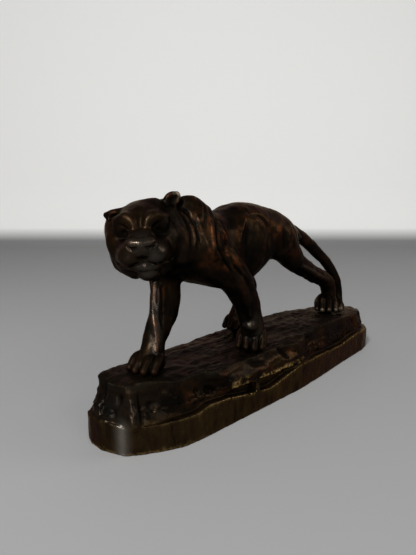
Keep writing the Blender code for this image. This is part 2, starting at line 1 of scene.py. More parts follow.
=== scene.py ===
"""Bronze panther on a rocky base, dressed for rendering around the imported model.

The sculpt repeats the solid's forms more finely, with coat, grain, cracks and wear.
Metres in the scene, millimetres while sculpting; the head is towards -X, +Z is up.
"""
import copy
import math

import bpy
import numpy as np
import openvdb
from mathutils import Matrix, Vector


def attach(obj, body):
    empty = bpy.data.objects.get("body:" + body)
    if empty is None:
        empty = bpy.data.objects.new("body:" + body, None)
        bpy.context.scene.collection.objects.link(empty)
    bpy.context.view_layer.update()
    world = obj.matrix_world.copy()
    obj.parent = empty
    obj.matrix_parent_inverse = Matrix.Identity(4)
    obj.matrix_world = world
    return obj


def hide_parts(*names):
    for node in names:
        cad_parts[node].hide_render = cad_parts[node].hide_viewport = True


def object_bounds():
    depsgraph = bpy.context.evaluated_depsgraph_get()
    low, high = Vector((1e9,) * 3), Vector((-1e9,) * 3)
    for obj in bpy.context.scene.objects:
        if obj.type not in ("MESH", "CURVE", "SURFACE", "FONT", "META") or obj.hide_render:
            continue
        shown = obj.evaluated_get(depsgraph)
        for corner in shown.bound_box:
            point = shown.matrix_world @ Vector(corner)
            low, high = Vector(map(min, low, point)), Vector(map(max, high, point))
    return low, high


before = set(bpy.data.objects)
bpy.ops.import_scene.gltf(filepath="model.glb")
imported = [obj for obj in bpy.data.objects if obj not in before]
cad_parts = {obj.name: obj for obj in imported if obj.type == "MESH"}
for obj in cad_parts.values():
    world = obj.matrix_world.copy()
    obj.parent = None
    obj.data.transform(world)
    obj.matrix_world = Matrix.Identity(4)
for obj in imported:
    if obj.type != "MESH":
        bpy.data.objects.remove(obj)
cad_low, cad_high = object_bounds()

# Base, in metres
BASE_LENGTH = 0.36
BASE_WIDTH = 0.091
BAND_HEIGHT = 0.0205
ROCK_HEIGHT = 0.045
ROCK_SETBACK = 0.0055
LEDGE_HEIGHT = 0.0305
LEDGE_THICKNESS = 0.0045
HOLLOW_WALL = 0.0065
HOLLOW_DEPTH = 0.026
HOLLOW_TAPER = 0.009

# Body, in metres and degrees
BODY_LENGTH = 0.15
BACK_HEIGHT = 0.119
BODY_WIDTH = 0.054
SHOULDER_WIDTH = 0.062
HAUNCH_WIDTH = 0.058
HUMP_RISE = 0.0055
FORELEG_THICKNESS = 0.0225
HIND_LEG_THICKNESS = 0.019
PAW_LENGTH = 0.037
PAW_WIDTH = 0.027
PAW_HEIGHT = 0.0155
PAW_TURN = 29.0
TAIL_THICKNESS = 0.0115
NECK_THICKNESS = 0.05

# Head, in metres and degrees
HEAD_LENGTH = 0.062
HEAD_WIDTH = 0.052
HEAD_HEIGHT = 0.056
HEAD_TURN = 50.0
HEAD_DROP = 12.0
HEAD_ROLL = 5.0
EAR_HEIGHT = 0.017
EYE_SPACING = 0.027
MUZZLE_WIDTH = 0.031

# Fineness of the sculpt, in millimetres, and triangles kept per piece
CELL = 0.75
TRIANGLES = 190000
MM = 0.001
# Distances beyond every form, in millimetres, and a length too small to matter
FAR = 60.0
HUGE = 1e9
TINY = 1e-6
# Clear of the solid's box by this much, in millimetres
BOX_CLEARANCE = 0.01


def ramp(value, start, end):
    """From 0 at start to 1 at end; end may be the smaller one."""
    return np.clip((value - start) / (end - start), 0.0, 1.0)


class Clay:
    """A block of distances to the surface, in millimetres, that forms are blended into."""

    def __init__(self, low, high):
        self.low = np.array(low, float)
        count = np.ceil((np.array(high, float) - self.low) / CELL).astype(int) + 1
        self.axes = [self.low[i] + CELL * np.arange(count[i]) for i in range(3)]
        self.value = np.full(tuple(count), FAR, np.float32)

    def region(self, low, high):
        """The part of the block between two corners, and its x, y and z."""
        spans = tuple(slice(max(np.searchsorted(axis, a) - 1, 0), np.searchsorted(axis, b) + 1)
                      for axis, a, b in zip(self.axes, low, high))
        return spans, *np.ix_(*(axis[span] for axis, span in zip(self.axes, spans)))

    def join(self, spans, distance, blend, carve=False):
        """Blends a form in, or cuts it out, with a fillet of this size."""
        sign = -1 if carve else 1
        old = sign * self.value[spans]
        near = np.maximum(blend - np.abs(old - distance), 0) / blend
        self.value[spans] = sign * (np.minimum(old, distance) - near * near * blend / 4)

    def limb(self, points, blend=4, flat=1, carve=False):
        """A tapered round limb through (x, y, z, radius) points; flat narrows it along Y."""
        path = smooth_path(points)
        reach = path[:, 3].max() + blend + 2 * CELL
        spans, x, y, z = self.region(path[:, :3].min(axis=0) - reach, path[:, :3].max(axis=0) + reach)
        best = None
        for a, b in zip(path[:-1], path[1:]):
            run = b[:3] - a[:3]
            along = (x - a[0]) * run[0] + (y - a[1]) * run[1] + (z - a[2]) * run[2]
            t = np.clip(along / max(run @ run, TINY), 0, 1)
            dx = x - a[0] - t * run[0]
            dy = (y - a[1] - t * run[1]) / flat
            dz = z - a[2] - t * run[2]
            distance = np.sqrt(dx * dx + dy * dy + dz * dz) - (a[3] + t * (b[3] - a[3]))
            best = distance if best is None else np.minimum(best, distance)
        self.join(spans, best, blend, carve)

    def lump(self, centre, radii, blend=4, axes=np.eye(3), carve=False):
        """An ellipsoid; axes holds its three directions as the columns of a matrix."""
        reach = np.abs(axes) @ np.array(radii, float) + blend + 2 * CELL
        spans, x, y, z = self.region(np.array(centre) - reach, np.array(centre) + reach)
        dx, dy, dz = x - centre[0], y - centre[1], z - centre[2]
        scaled, graded = 0, 0
        for i in range(3):
            part = dx * axes[0, i] + dy * axes[1, i] + dz * axes[2, i]
            scaled = scaled + (part / radii[i]) ** 2
            graded = graded + (part / radii[i] ** 2) ** 2
        scaled = np.sqrt(scaled)
        distance = scaled * (scaled - 1) / np.maximum(np.sqrt(graded), TINY)
        self.join(spans, distance, blend, carve)


def smooth_path(points, steps=4):
    """Points on a smooth curve through the given ones, radius included."""
    given = np.array(points, float)
    if len(given) < 3:
        return given
    ends = np.vstack([2 * given[0] - given[1], given, 2 * given[-1] - given[-2]])
    path = []
    for i in range(1, len(ends) - 2):
        p0, p1, p2, p3 = ends[i - 1:i + 3]
        for t in np.arange(steps) / steps:
            path.append(0.5 * (2 * p1 + (p2 - p0) * t + (2 * p0 - 5 * p1 + 4 * p2 - p3) * t ** 2
                               + (3 * p1 - p0 - 3 * p2 + p3) * t ** 3))
    path.append(given[-1])
    path = np.array(path)
    path[:, 3] = np.maximum(path[:, 3], given[:, 3].min())
    return path


def place(x, y, z):
    """A point of the body: lengths follow BODY_LENGTH, heights above the rock follow BACK_HEIGHT."""
    return (x * BODY_LENGTH / 0.15, y, ROCK_HEIGHT / MM + (z - 45) * BACK_HEIGHT / 0.119)


# Base

# Length of the base as a share of the one that its outlines are drawn for
LONG = BASE_LENGTH / 0.36
# Half outlines of the base seen from above, near side then far side, in millimetres
NEAR_EDGE = [(-180, 11), (-180, -1), (-177, -9), (-173, -18.5), (-163, -26), (-151, -32.5), (-139, -38),
             (-126, -40), (-61, -43), (-6, -45.5), (31, -44.5), (77, -42), (133, -40), (150, -37),
             (166, -27), (176, -13)]
FAR_EDGE = [(180, 2), (176, 21), (166, 33), (148, 40), (110, 43.5), (20, 45.5), (-60, 44.5), (-112, 41),
            (-147, 36.5), (-167.5, 27), (-177.5, 19)]
# Height of the band along the near side, as a share of its usual height
BAND_WAVE = [(-180, 1.08), (-172, 0.95), (-158, 0.95), (-140, 1.01), (-126, 1.02), (-116, 1.14),
             (-97, 1.08), (-85, 0.97), (-66, 0.82), (-48, 0.72), (-35, 0.83), (-21, 0.98), (-8, 1.1),
             (31, 1.11), (53, 1.03), (77, 0.98), (103, 1.08), (118, 1.15), (150, 1.04), (180, 1)]
# How far the top edge of the rock lies inside the outline, near side
SHOULDER = [(-180, 5), (-168, 6), (-155, 11), (-130, 14), (-100, 12), (-70, 9), (-40, 8), (-14, 6),
            (8, 6), (22, 13), (80, 12), (130, 10), (150, 9), (180, 9)]
# Share of the usual groove between the band and the rock, near side: it closes at the boulder
GROOVE = [(-180, 1), (-24, 1), (-12, 0.3), (8, 0.3), (20, 1.1), (180, 1)]


def outline():
    wide = BASE_WIDTH / 0.091
    return [(x * LONG, y * wide) for x, y in NEAR_EDGE + FAR_EDGE]


def follow(pairs, x):
    """Height or width along the base, read off a list of (x, value) at this length of base."""
    return np.interp(x, [p[0] * LONG for p in pairs], [p[1] for p in pairs])


def inside_distance(points, x, y):
    """Signed distance to a closed outline, negative inside."""
    best = np.full(np.broadcast(x, y).shape, HUGE)
    inside = np.zeros(best.shape, bool)
    for (ax, ay), (bx, by) in zip(points, points[1:] + points[:1]):
        rx, ry = bx - ax, by - ay
        t = np.clip(((x - ax) * rx + (y - ay) * ry) / (rx * rx + ry * ry), 0, 1)
        best = np.minimum(best, np.hypot(x - ax - t * rx, y - ay - t * ry))
        crosses = (ay > y) != (by > y)
        side = (bx - ax) * (y - ay) / ((by - ay) if by != ay else 1e-9) + ax
        inside ^= crosses & (x < side)
    return np.where(inside, -best, best)


def add_base(clay):
    top = ROCK_HEIGHT / MM
    band = BAND_HEIGHT / MM
    setback = ROCK_SETBACK / MM
    reach = (BASE_LENGTH / MM / 2 + 6, BASE_WIDTH / MM / 2 + 6)
    spans, x, y, z = clay.region((-reach[0], -reach[1], -12), (reach[0], reach[1], top + 14))
    edge = inside_distance(outline(), x, y)
    near = y < 0
    plain = 1 + 0.06 * np.sin(x / 21) * np.sin(x / 9 + 1)
    band_top = band * np.where(near, follow(BAND_WAVE, x), plain)
    plinth = np.maximum(edge, z - band_top)

    # Rock: its side leans in from the band to the rounded top edge
    far_shoulder = 11 - 3.2 * ramp(x, -125, -155) + 8 * ramp(x, 70, 130)
    shoulder = np.where(near, follow(SHOULDER, x), far_shoulder)
    lean = ramp(z, band, top)
    bulge = 1.3 * np.sin(x / 12 + 2) * np.sin(z / 6 + x / 30) + 0.8 * np.sin(x / 5.5 + z / 4)
    # Toward the front its foot flares out over the band
    end_x = -BASE_LENGTH / MM / 2
    front = ramp(x, end_x + 40, end_x + 24)
    groove = setback * np.where(near, follow(GROOVE, x), 1) * (1 - 0.75 * front)
    slope = lean ** 1.5 * (1 - front) + (1 - (1 - lean) ** 2.2) * front
    inset = groove + (shoulder - groove) * slope - bulge * lean * (1 - lean) * 2
    grain = 0.45 * np.sin(y / 1.9 + 0.8 * np.sin(x / 17)) + 0.35 * np.sin(y / 3.1 + x / 33)
    swell = 1.2 * np.sin(x / 31 + 0.6) + 0.9 * np.sin(x / 14 + y / 10)
    crown = top - 1.2 + swell * 0.6 + grain * 0.5 - 5 * ramp(x, 95, 175)
    crown = crown + 1.8 * ramp(x, -140, -160) - 1.8 * ramp(y, 14, 28)
    flank, lid = (edge + inset) * 0.9, z - crown
    near_top = np.maximum(2.4 - np.abs(flank - lid), 0) / 2.4
    distance = np.maximum(flank, lid) + near_top * near_top * 0.6
    clay.join(spans, plinth, 0.8)
    clay.join(spans, distance, 1.2)

    # Folds of rock at the front end, placed from the band's end, side and top
    wide = BASE_WIDTH / MM / 2
    clay.limb([(end_x + 15.5, 30.5 - wide, top - 5, 2.6),
               (end_x + 14.5, 28 - wide, (top + band) / 2 - 1, 3.6),
               (end_x + 13, 25 - wide, band + 1, 4.4)], 3)
    clay.lump((end_x + 8.5, -3, band + 3), (5.5, 5, 4.5), 3)
    clay.lump((end_x + 8, 8, band + 4.5), (5, 5, 5.5), 3)
    clay.limb([(end_x + 6.5, 3, band + 12, 1.6), (end_x + 4, 2, band + 4, 1.4)], 2, carve=True)

    # Ledge: a lip of rock that reaches out over the band on the near side
    lip = LEDGE_HEIGHT / MM
    thick = LEDGE_THICKNESS / MM
    start, end = -112 * LONG, 6 * LONG
    front_x, back_x = -70 * LONG, -30 * LONG
    lip_top = lip + 3 * ramp(x, front_x, front_x - 42) - 2 * ramp(x, back_x, back_x + 36)
    rise = lip_top + np.clip(-edge, 0, 20) * 1.6
    fade = np.minimum(ramp(x, start, start + 14), ramp(x, end, end - 12))
    wave = 0.7 * np.sin(x / 6) + 0.5 * np.sin(x / 2.7)
    out = edge + 1 + wave * 0.4 + 9 * (1 - fade)
    ledge = np.maximum(np.maximum(out, z - np.minimum(rise, crown)), lip_top - thick - z)
    ledge = np.where(near, ledge, FAR)
    clay.join(spans, ledge, 1.5)

    # Drip of metal from the ledge down to the band
    clay.limb([(-66 * LONG, -41, lip - 1.5, 2.2), (-64 * LONG, -41.6, 23, 1.9),
               (-63 * LONG, -41.4, 14, 2.2)], 2)


# Animal

def add_torso(clay):
    """Trunk from the chest to the rump: top line, belly line and half width along its length."""
    top_line = [(-128, 152), (-118, 158), (-104, 163), (-94, 160), (-84, 155.5), (-75, 154.5), (-64, 158),
                (-55, 161.5), (-46, 163.7), (-36, 164), (-22, 162.4), (-8, 160.6), (6, 156.8), (20, 150),
                (32, 142.5), (42, 134)]
    low_line = [(-128, 128), (-118, 116), (-106, 106), (-92, 101), (-74, 97), (-58, 94), (-44, 94),
                (-32, 98.5), (-20, 105.5), (-8, 113.5), (6, 121), (18, 123), (32, 124), (42, 127)]
    width = [(-128, 0.6), (-112, 0.86), (-90, 0.97), (-60, 1), (-30, 1), (-14, 0.92), (2, 0.78),
             (16, 0.74), (32, 0.6), (42, 0.4)]
    start = place(-128, 0, 0)[0]
    end = place(42, 0, 0)[0]
    half = BODY_WIDTH / MM / 2
    spans, x, y, z = clay.region((start - 12, -half - 14, place(0, 0, 80)[2]),
                                 (end + 12, half + 14, place(0, 0, 178)[2]))
    along = np.clip(x, start, end)
    top = smooth_line(top_line, along)
    bottom = smooth_line(low_line, along)
    wide = half * np.interp(along, [place(p[0], 0, 0)[0] for p in width], [p[1] for p in width])
    middle = (top + bottom) / 2
    tall = (top - bottom) / 2
    # Egg section, fuller above the middle than below it
    level = (z - middle) / tall
    wide = wide * (1 - 0.1 * np.clip(-level, 0, 1.2))
    beyond = (x - along) / 10
    scaled = np.sqrt(np.abs(y / wide) ** 2.2 + np.abs(level) ** 2.2 + beyond ** 2)
    distance = (scaled - 1) * np.minimum(wide, tall)
    clay.join(spans, distance, 6)


def add_flanks(clay):
    """Rib cage, the hollow behind it and the fold of skin before the thigh."""
    half = BODY_WIDTH / MM / 2
    # Points as (x, depth inside the half width, z, radius)
    rib = [(-52, 7.5, 150, 3.5), (-43, 4.5, 147, 4), (-37.5, 2.5, 139, 4.2), (-38.5, 2.5, 128, 4.2),
           (-44, 4.5, 119, 3.5)]
    crescent = [(-50, 5, 154.5, 1.8), (-40, 4.5, 153, 2.6), (-32.5, 2, 146, 3),
                (-31.5, -0.4, 135, 3), (-35.5, -0.2, 123, 2.4)]
    for side in (-1, 1):
        clay.lump(place(-47, side * (half - 9.5), 130), (15, 12.5, 23), 5)
        clay.limb(body_points([(x, side * (half - depth), z, r) for x, depth, z, r in rib]), 4)
        clay.lump(place(-25, side * (half + 7.5), 141), (6, 9, 17), 4, carve=True)
        clay.lump(place(-34, side * (half + 6.5), 154), (9, 9, 3.5), 4, carve=True)
        # Crescent cut above and behind the ribs
        cut = [(x, side * (half - depth), z, r) for x, depth, z, r in crescent]
        clay.limb(body_points(cut), 2, carve=True)
        clay.lump(place(-64, side * (half + 12.5), 140), (3.5, 13, 12), 5, carve=True)


def smooth_line(pairs, x):
    given = [place(p[0], 0, p[1]) for p in pairs]
    path = smooth_path([(p[0], 0, p[2], 0) for p in given], 5)
    return np.interp(x, path[:, 0], path[:, 2])


def body_points(points, scale=1):
    return [place(x, y, z) + (r * scale,) for x, y, z, r in points]


def add_shoulders(clay):
    wide = SHOULDER_WIDTH / MM / 62
    hump = HUMP_RISE / MM
    for side in (-1, 1):
        # Shoulder blade that stands above the back, then the upper arm and the chest muscle
        fall = 0 if side < 0 else 5
        blade = [(-110, side * 10 * wide, 156 + hump - fall, 6.2),
                 (-105, side * 11 * wide, 153 + hump - fall, 7.8),
                 (-98, side * 18 * wide, 143, 11), (-100, side * 20.5 * wide, 131, 12)]
        clay.limb(body_points(blade), 9)
        arm = [(-108, side * 19 * wide, 130, 11.5), (-98, side * 19.5 * wide, 120, 12),
               (-86 if side < 0 else -108, side * 17 * wide, 112, 11.5)]
        clay.limb(body_points(arm), 7)
    clay.lump(place(-116, -2, 124), (13, 15, 15), 9)
    clay.lump(place(-122, 5, 138), (14, 17, 18), 9)


def add_haunches(clay):
    wide = HAUNCH_WIDTH / MM / 58
    for side in (-1, 1):
        clay.lump(place(-1, side * 13.5 * wide, 131), (20, 12.5, 17.5), 7)
        clay.lump(place(12, side * 8 * wide, 132), (11, 9, 12), 6)


def add_legs(clay):
    fore = FORELEG_THICKNESS / MM / 22.5
    hind = HIND_LEG_THICKNESS / MM / 19
    # Thickness, flatness, place, heading and instep of the paw, then the leg from the body down
    legs = [
        # Near foreleg, planted back under the shoulder
        (fore, 0.92, (-50, -25), PAW_TURN, 1.2,
         [(-84, -22, 117, 14.5), (-73, -24, 107, 13.5), (-65, -24.5, 97, 12.2), (-58.5, -24.5, 86, 11.3),
          (-54, -24.5, 75, 10.6), (-50, -24.5, 64, 10.4), (-48, -24.5, 56, 10)]),
        # Far foreleg, reaching forward
        (fore, 0.92, (-140.5, -2.5), PAW_TURN - 9, 0.8,
         [(-112, 12, 124, 15), (-115, 8, 110, 12.8), (-116.5, 5, 97, 11.6), (-119.5, 4, 84, 11.2),
          (-125.5, 3, 74, 9.8), (-131, 1.5, 65, 8.7), (-134.5, 0, 57, 9.2)]),
        # Near hind leg, stretched back
        (hind, 0.9, (107, -7), PAW_TURN, 1.1,
         [(5, -14, 129, 16), (15, -14.5, 119, 13.2), (29, -13.5, 108.8, 10.6), (50, -12, 99.6, 9.2),
          (72, -9, 91, 8.6), (94, -7, 84, 8.8), (108, -6, 76, 8.8), (113, -6, 66, 8.6), (116, -5, 56, 8.6)]),
        # Far hind leg, brought forward
        (hind, 0.9, (-15.5, 19), 12, 0.9,
         [(0, 14, 134, 15), (-9, 17, 119, 13.5), (-15, 19, 105, 11.5), (-6, 19.5, 92, 10), (0, 20, 84, 9),
          (-6, 20, 75, 8.2), (-12, 20, 66, 7.6), (-17, 20, 56, 8.4)]),
    ]
    for thick, flat, spot, turn, arch, points in legs:
        clay.limb(body_points(points, thick), 5, flat)
        add_paw(clay, spot, turn, arch)


def add_paw(clay, spot, turn, arch):
    """A paw that stands on the rock; turn is its heading from -X towards the near side, arch its instep."""
    length, width, height = PAW_LENGTH / MM, PAW_WIDTH / MM, PAW_HEIGHT / MM
    thick = 0.118 * width
    angle = math.radians(turn)
    ahead = np.array([-math.cos(angle), -math.sin(angle), 0])
    left = np.array([math.sin(angle), -math.cos(angle), 0])
    axes = np.stack([ahead, left, [0, 0, 1]], axis=1)
    base = np.array(place(spot[0], spot[1], 45))
    clay.lump(base + ahead * -0.06 * length + [0, 0, 0.32 * height],
              (0.33 * length, 0.41 * width, 0.5 * height), 3, axes)
    for across, forward in [(-0.34, 0.02), (-0.118, 0.1), (0.118, 0.1), (0.34, 0.02)]:
        root = base + left * across * 0.62 * width + ahead * (forward - 0.2) * length
        bend = base + left * across * width + ahead * forward * length
        tip = base + left * across * 1.06 * width + ahead * (forward + 0.2) * length
        clay.limb([tuple(root + [0, 0, 0.86 * height * arch]) + (thick,),
                   tuple(bend + [0, 0, 0.33 * height * (1 + arch)]) + (thick * 1.05,),
                   tuple(tip + [0, 0, 0.24 * height]) + (thick * 0.92,)], 0.9)


def add_tail(clay):
    thick = TAIL_THICKNESS / MM / 11.5
    tail = [(14, 0, 144, 8), (30, 0, 140.5, 6.9), (50, 0, 134, 6.3), (74, 0, 123, 6.2),
            (94, 0, 111.5, 6.2), (111, -1, 100.5, 6), (125, -2, 88.5, 5.7), (135, -3, 76, 5.3),
            (139.5, -4, 65, 5), (139.5, -5, 56, 4.8), (136, -8, 50.5, 4.5), (130, -13, 48, 4.3),
            (122, -17, 47.5, 4.1), (114, -19.5, 48.5, 3.8)]
    clay.limb(body_points(tail, thick), 2)


def unit(direction):
    return direction / np.linalg.norm(direction)


def head_axes():
    """Directions of the head: forward, its left, and up."""
    turn, drop, roll = math.radians(HEAD_TURN), math.radians(HEAD_DROP), math.radians(HEAD_ROLL)
    ahead = np.array([-math.cos(turn) * math.cos(drop), -math.sin(turn) * math.cos(drop), -math.sin(drop)])
    left = np.array([math.sin(turn), -math.cos(turn), 0])
    up = np.cross(ahead, left)
    left, up = left * math.cos(roll) + up * math.sin(roll), up * math.cos(roll) - left * math.sin(roll)
    return np.stack([ahead, left, up], axis=1)


HEAD_SPOT = (-139.5, 0, 143.5)


def head_point(ahead, left, up):
    """A point of the head, given along its own directions."""
    share = np.array([ahead * HEAD_LENGTH / MM / 62, left, up * HEAD_HEIGHT / MM / 56])
    return np.array(place(*HEAD_SPOT)) + head_axes() @ share


def head_limb(clay, beads, blend, across=1, carve=False):
    """A limb of the head through (ahead, aside, up, radius) points; aside times across is left."""
    points = [tuple(head_point(ahead, aside * across, up)) + (r,) for ahead, aside, up, r in beads]
    clay.limb(points, blend, carve=carve)


def add_head(clay):
    axes = head_axes()
    length = HEAD_LENGTH / MM / 62
    width = HEAD_WIDTH / MM / 52
    height = HEAD_HEIGHT / MM / 56
    muzzle = MUZZLE_WIDTH / MM / 31
    eye = EYE_SPACING / MM / 2 * 0.96
    ear = EAR_HEIGHT / MM / 17

    def blob(ahead, aside, up, radii, blend, across=1, carve=False):
        size = (radii[0] * length, radii[1] * abs(across), radii[2] * height)
        clay.lump(head_point(ahead, aside * across, up), size, blend, axes, carve)

    # Neck and ruff
    thick = NECK_THICKNESS / MM / 2
    clay.limb([place(-104, 0, 141) + (thick,), tuple(head_point(-20, 0, -6)) + (thick * 0.88,),
               tuple(head_point(-6, 0, -6)) + (thick * 0.8,)], 8)
    # Skull, forehead, cheekbones, cheeks and jaw
    blob(-2, 0, 2, (22, 20, 18.6), 6, width)
    blob(-3, 8.5, 8, (13, 10, 13.2), 5, width)
    blob(9, 0, 7, (14, 15.5, 12), 4, width)
    for out in (-width, width):
        blob(3, 17, -6, (14, 8, 13), 4, out)
        blob(-6, 18.5, -11, (11, 7.2, 17), 4, out)
        blob(-7, 18.2, 3, (11, 7.2, 12), 4, out)
        head_limb(clay, [(3, 14.5, -18.5, 8.8), (18, 7, -20, 6.5)], 4, out)
        head_limb(clay, [(21, 8.5, 0.6, 3), (14, 14.5, 0.2, 3)], 3, out)
    # Ruff that stands out where the neck bends on the left
    head_limb(clay, [(-1, 20, 11, 4.5), (1.5, 23.5, 4, 5.5), (4, 25.5, -4, 6), (6, 26.5, -12, 6),
                     (7, 24, -19, 5.5)], 4, width)
    # Muzzle: broad flat bridge, lip pads and lower jaw
    for out in (-muzzle, muzzle):
        head_limb(clay, [(10, 3.5, 6.5, 8), (24, 3.6, 1.9, 6.4), (32.6, 4.6, 0.5, 4.9)], 3, out)
        blob(25, 7.6, -6.8, (11.5, 8.4, 8.2), 4, out)
        blob(17, 10, -8.8, (12, 7.8, 9.2), 4, out)
        blob(9, 12, -13.5, (14, 7.5, 9), 3.5, out)
    blob(23.5, 1.6, -19, (10, 7.6, 7), 3, muzzle)
    blob(27.4, 0.6, -13.8, (6.4, 9.8, 3.8), 2.5, muzzle)
    blob(27.5, 0, -8.6, (6.6, 5, 5), 2.5, muzzle)
    # Nose leather: wide above, narrowing to the lip
    for out in (-muzzle, muzzle):
        blob(34, 4.9, 1.8, (3.7, 4.2, 3.6), 1.8, out)
    blob(35.6, 0, 1.8, (3.6, 5.8, 3.4), 1.6, muzzle)
    blob(34.6, 0, -2.2, (3.6, 5.2, 4.8), 1.8, muzzle)
    # Mouth line, cleft of the lip and nostrils
    for side in (-1, 1):
        head_limb(clay, [(35.4, 0, -10.6, 1), (34, 5.6, -11.4, 1), (27.6, 12, -12.6, 1),
                         (18, 17.4, -14.4, 0.9)], 1.2, side * muzzle, carve=True)
        head_limb(clay, [(38.6, 3, 0.4, 1.1), (37.5, 5.6, -0.4, 1.4), (35.2, 8, 1.4, 1)], 1.2, side,
                  carve=True)
        # Deep eye sockets under a heavy brow, each with its eyeball
        blob(19.5, eye, 6.6, (7.5, 6.4, 5.8), 2.5, side, carve=True)
        blob(12.6, eye, 6.4, (4.8, 4.6, 4.2), 1.4, side)
        head_limb(clay, [(19.5, 4.6, 12, 3), (16.5, 9.5, 14, 3.2), (10, 15.5, 11.5, 2.8)], 4,
                  side * width)
    head_limb(clay, [(38, 0, -5.6, 0.8), (35.6, 0, -8.4, 1.2), (34.6, 0, -10.8, 1)], 1.2, carve=True)
    head_limb(clay, [(25, 0, 12, 2), (19, 0, 17.5, 2.2), (11, 0, 23.2, 2)], 3, carve=True)
    # Ears: the right one laid flat, the left one raised, both hollow in front
    head_limb(clay, [(-3, 12, 12, 4.8), (-4.5, 18, 12.4, 4), (-5.5, 23.6, 12.3, 2.3)], 2, -width)
    clay.lump(head_point(0.5, -18.5 * width, 11.5), (2.6, 4 * ear, 2.4 * ear), 1.5, axes, carve=True)
    middle = head_point(-5, 21 * width, 18.8)
    rise = unit(axes @ [-0.25, 0.78, 0.58])
    face = unit(axes[:, 0] - rise * (axes[:, 0] @ rise))
    ear_axes = np.stack([face, np.cross(rise, face), rise], axis=1)
    clay.lump(middle, (3.6, 4.9 * ear, 7.2 * ear), 2.5, ear_axes)
    clay.lump(middle + face * 3.8 + rise * 1.2, (3, 3.6 * ear, 5.2 * ear), 1.2, ear_axes, carve=True)


def add_fine_head(clay):
    """Eyelids, creases, whisker furrows and the edge of the lower lip: too fine for the solid."""
    muzzle = MUZZLE_WIDTH / MM / 31
    eye = EYE_SPACING / MM / 2 * 0.96
    for side in (-1, 1):
        # Heavy lids over a small eyeball, deep in each socket
        head_limb(clay, [(17.6, eye - 5, 5.8, 0.9), (16.6, eye - 1.5, 8.6, 1.2),
                         (13.6, eye + 3.4, 8.4, 1.1)], 2.2, side)
        head_limb(clay, [(16.8, eye - 4.6, 4, 0.8), (15.4, eye, 2.6, 1),
                         (12.4, eye + 3.6, 3.2, 0.8)], 2.2, side)
        # Crease over the inner corner
        head_limb(clay, [(22, 4, 10.6, 0.9), (20.2, 6.4, 13.4, 1.5), (17.4, 9.4, 15.2, 1.2)], 3.5, side)
        # Whisker furrows and the edge of the lower lip
        for k in range(4):
            drop = -3.6 - 2.2 * k
            head_limb(clay, [(34 - 0.8 * k, 5.6 + 0.5 * k, drop, 0.4),
                             (30 - 0.5 * k, 11.5 + 0.3 * k, drop - 0.6, 0.5),
                             (27, 13.6 + 0.2 * k, drop - 0.6, 0.4)], 1.2, side * muzzle, carve=True)
        head_limb(clay, [(32.4, side * 1, -14, 1.2), (31, 5.6 + side * 1, -14.6, 1.2),
                         (25, 11, -15.6, 0.9)], 2.4, side)


def add_fine_legs(clay):
    """Tendons of the legs and the wrist: too fine for the solid."""
    clay.limb([(-127.2, 5.6, 106, 1.6), (-128.2, 5.4, 93.5, 2.2), (-131, 2.2, 83.4, 2.2),
               (-133.2, -2, 75.1, 2), (-133.6, -5, 67, 1.8), (-137, -7.6, 60, 1.4)], 2)
    clay.limb([(-126.4, 0, 102, 0.8), (-127.4, -1.9, 90.6, 1.1), (-129, -3.6, 81.6, 1.1),
               (-129.4, -5.9, 73.2, 0.7)], 1.6, carve=True)
    clay.limb([(-124.2, -1.4, 103, 1.2), (-124.8, -2.4, 95.6, 1.6), (-126, -3, 86, 1.2)], 1.6)
    clay.lump((-57.5, -29.6, 66.6), (6.2, 5, 4.2), 3.6)
    # Near foreleg: edge of the forearm muscle and the tendon behind it
    clay.limb([(-84, -33, 113, 1.6), (-76, -35, 101, 2.4), (-69, -34.6, 88, 2.2),
               (-64, -33.2, 77, 1.4)], 4)
    clay.limb([(-74, -37, 108, 1.2), (-64, -37.2, 95, 1.5), (-57, -35.6, 82, 1.2)], 3, carve=True)
    # Near hind leg: shin and heel cord
    clay.limb([(28, -23.5, 104, 1.4), (50, -20.6, 96, 2), (74, -17, 88, 1.8), (94, -14.6, 82, 1.2)], 4)
    clay.limb([(38, -23.6, 107, 1), (58, -20.4, 99.5, 1.4), (80, -17, 91.4, 1)], 2.6, carve=True)


def figure_clay():
    half = BASE_WIDTH / MM / 2 + 10
    end = place(166, 0, 176)
    clay = Clay((place(-180, 0, 0)[0], -half, 34), (end[0], half, end[2] + 12))
    for add_part in (add_torso, add_flanks, add_shoulders, add_haunches, add_legs, add_tail, add_head,
                     add_fine_head, add_fine_legs):
        add_part(clay)
    return clay


def rock_clay():
    low = (-BASE_LENGTH / MM / 2 - 4, -BASE_WIDTH / MM / 2 - 4, -3 * CELL)
    high = (BASE_LENGTH / MM / 2 + 4, BASE_WIDTH / MM / 2 + 4, ROCK_HEIGHT / MM + 12)
    clay = Clay(low, high)
    add_base(clay)
    # Hollow underside and flat foot
    spans, x, y, z = clay.region(low, high)
    edge = inside_distance(outline(), x, y)
    depth = HOLLOW_DEPTH / MM
    wall = HOLLOW_WALL / MM + HOLLOW_TAPER / MM * np.clip(z / depth, 0, 1)
    pocket = np.maximum(edge + wall, z - depth)
    clay.value = np.maximum(np.maximum(clay.value, -pocket), -z).astype(np.float32)
    return clay


# Relief that is moved into the surface point by point

def blend_corners(values, cells, shares):
    """Values in between the eight corners of each cell; past its end the block starts anew."""
    total = 0
    for corner in range(8):
        picks, weight = [], 1
        for i in range(3):
            upper = corner >> i & 1
            picks.append((cells[i] + upper) % values.shape[i])
            weight = weight * (shares[i] if upper else 1 - shares[i])
        total = total + weight * values[tuple(picks)]
    return total


def noise(x, y, z, seed):
    """Smooth values from -1 to 1 that vary over about one unit."""
    lattice = np.random.default_rng(seed).uniform(-1, 1, (32, 32, 32))
    floors = [np.floor(value) for value in (x, y, z)]
    shares = [value - floor for value, floor in zip((x, y, z), floors)]
    shares = [share * share * (3 - 2 * share) for share in shares]
    return blend_corners(lattice, [floor.astype(int) for floor in floors], shares)


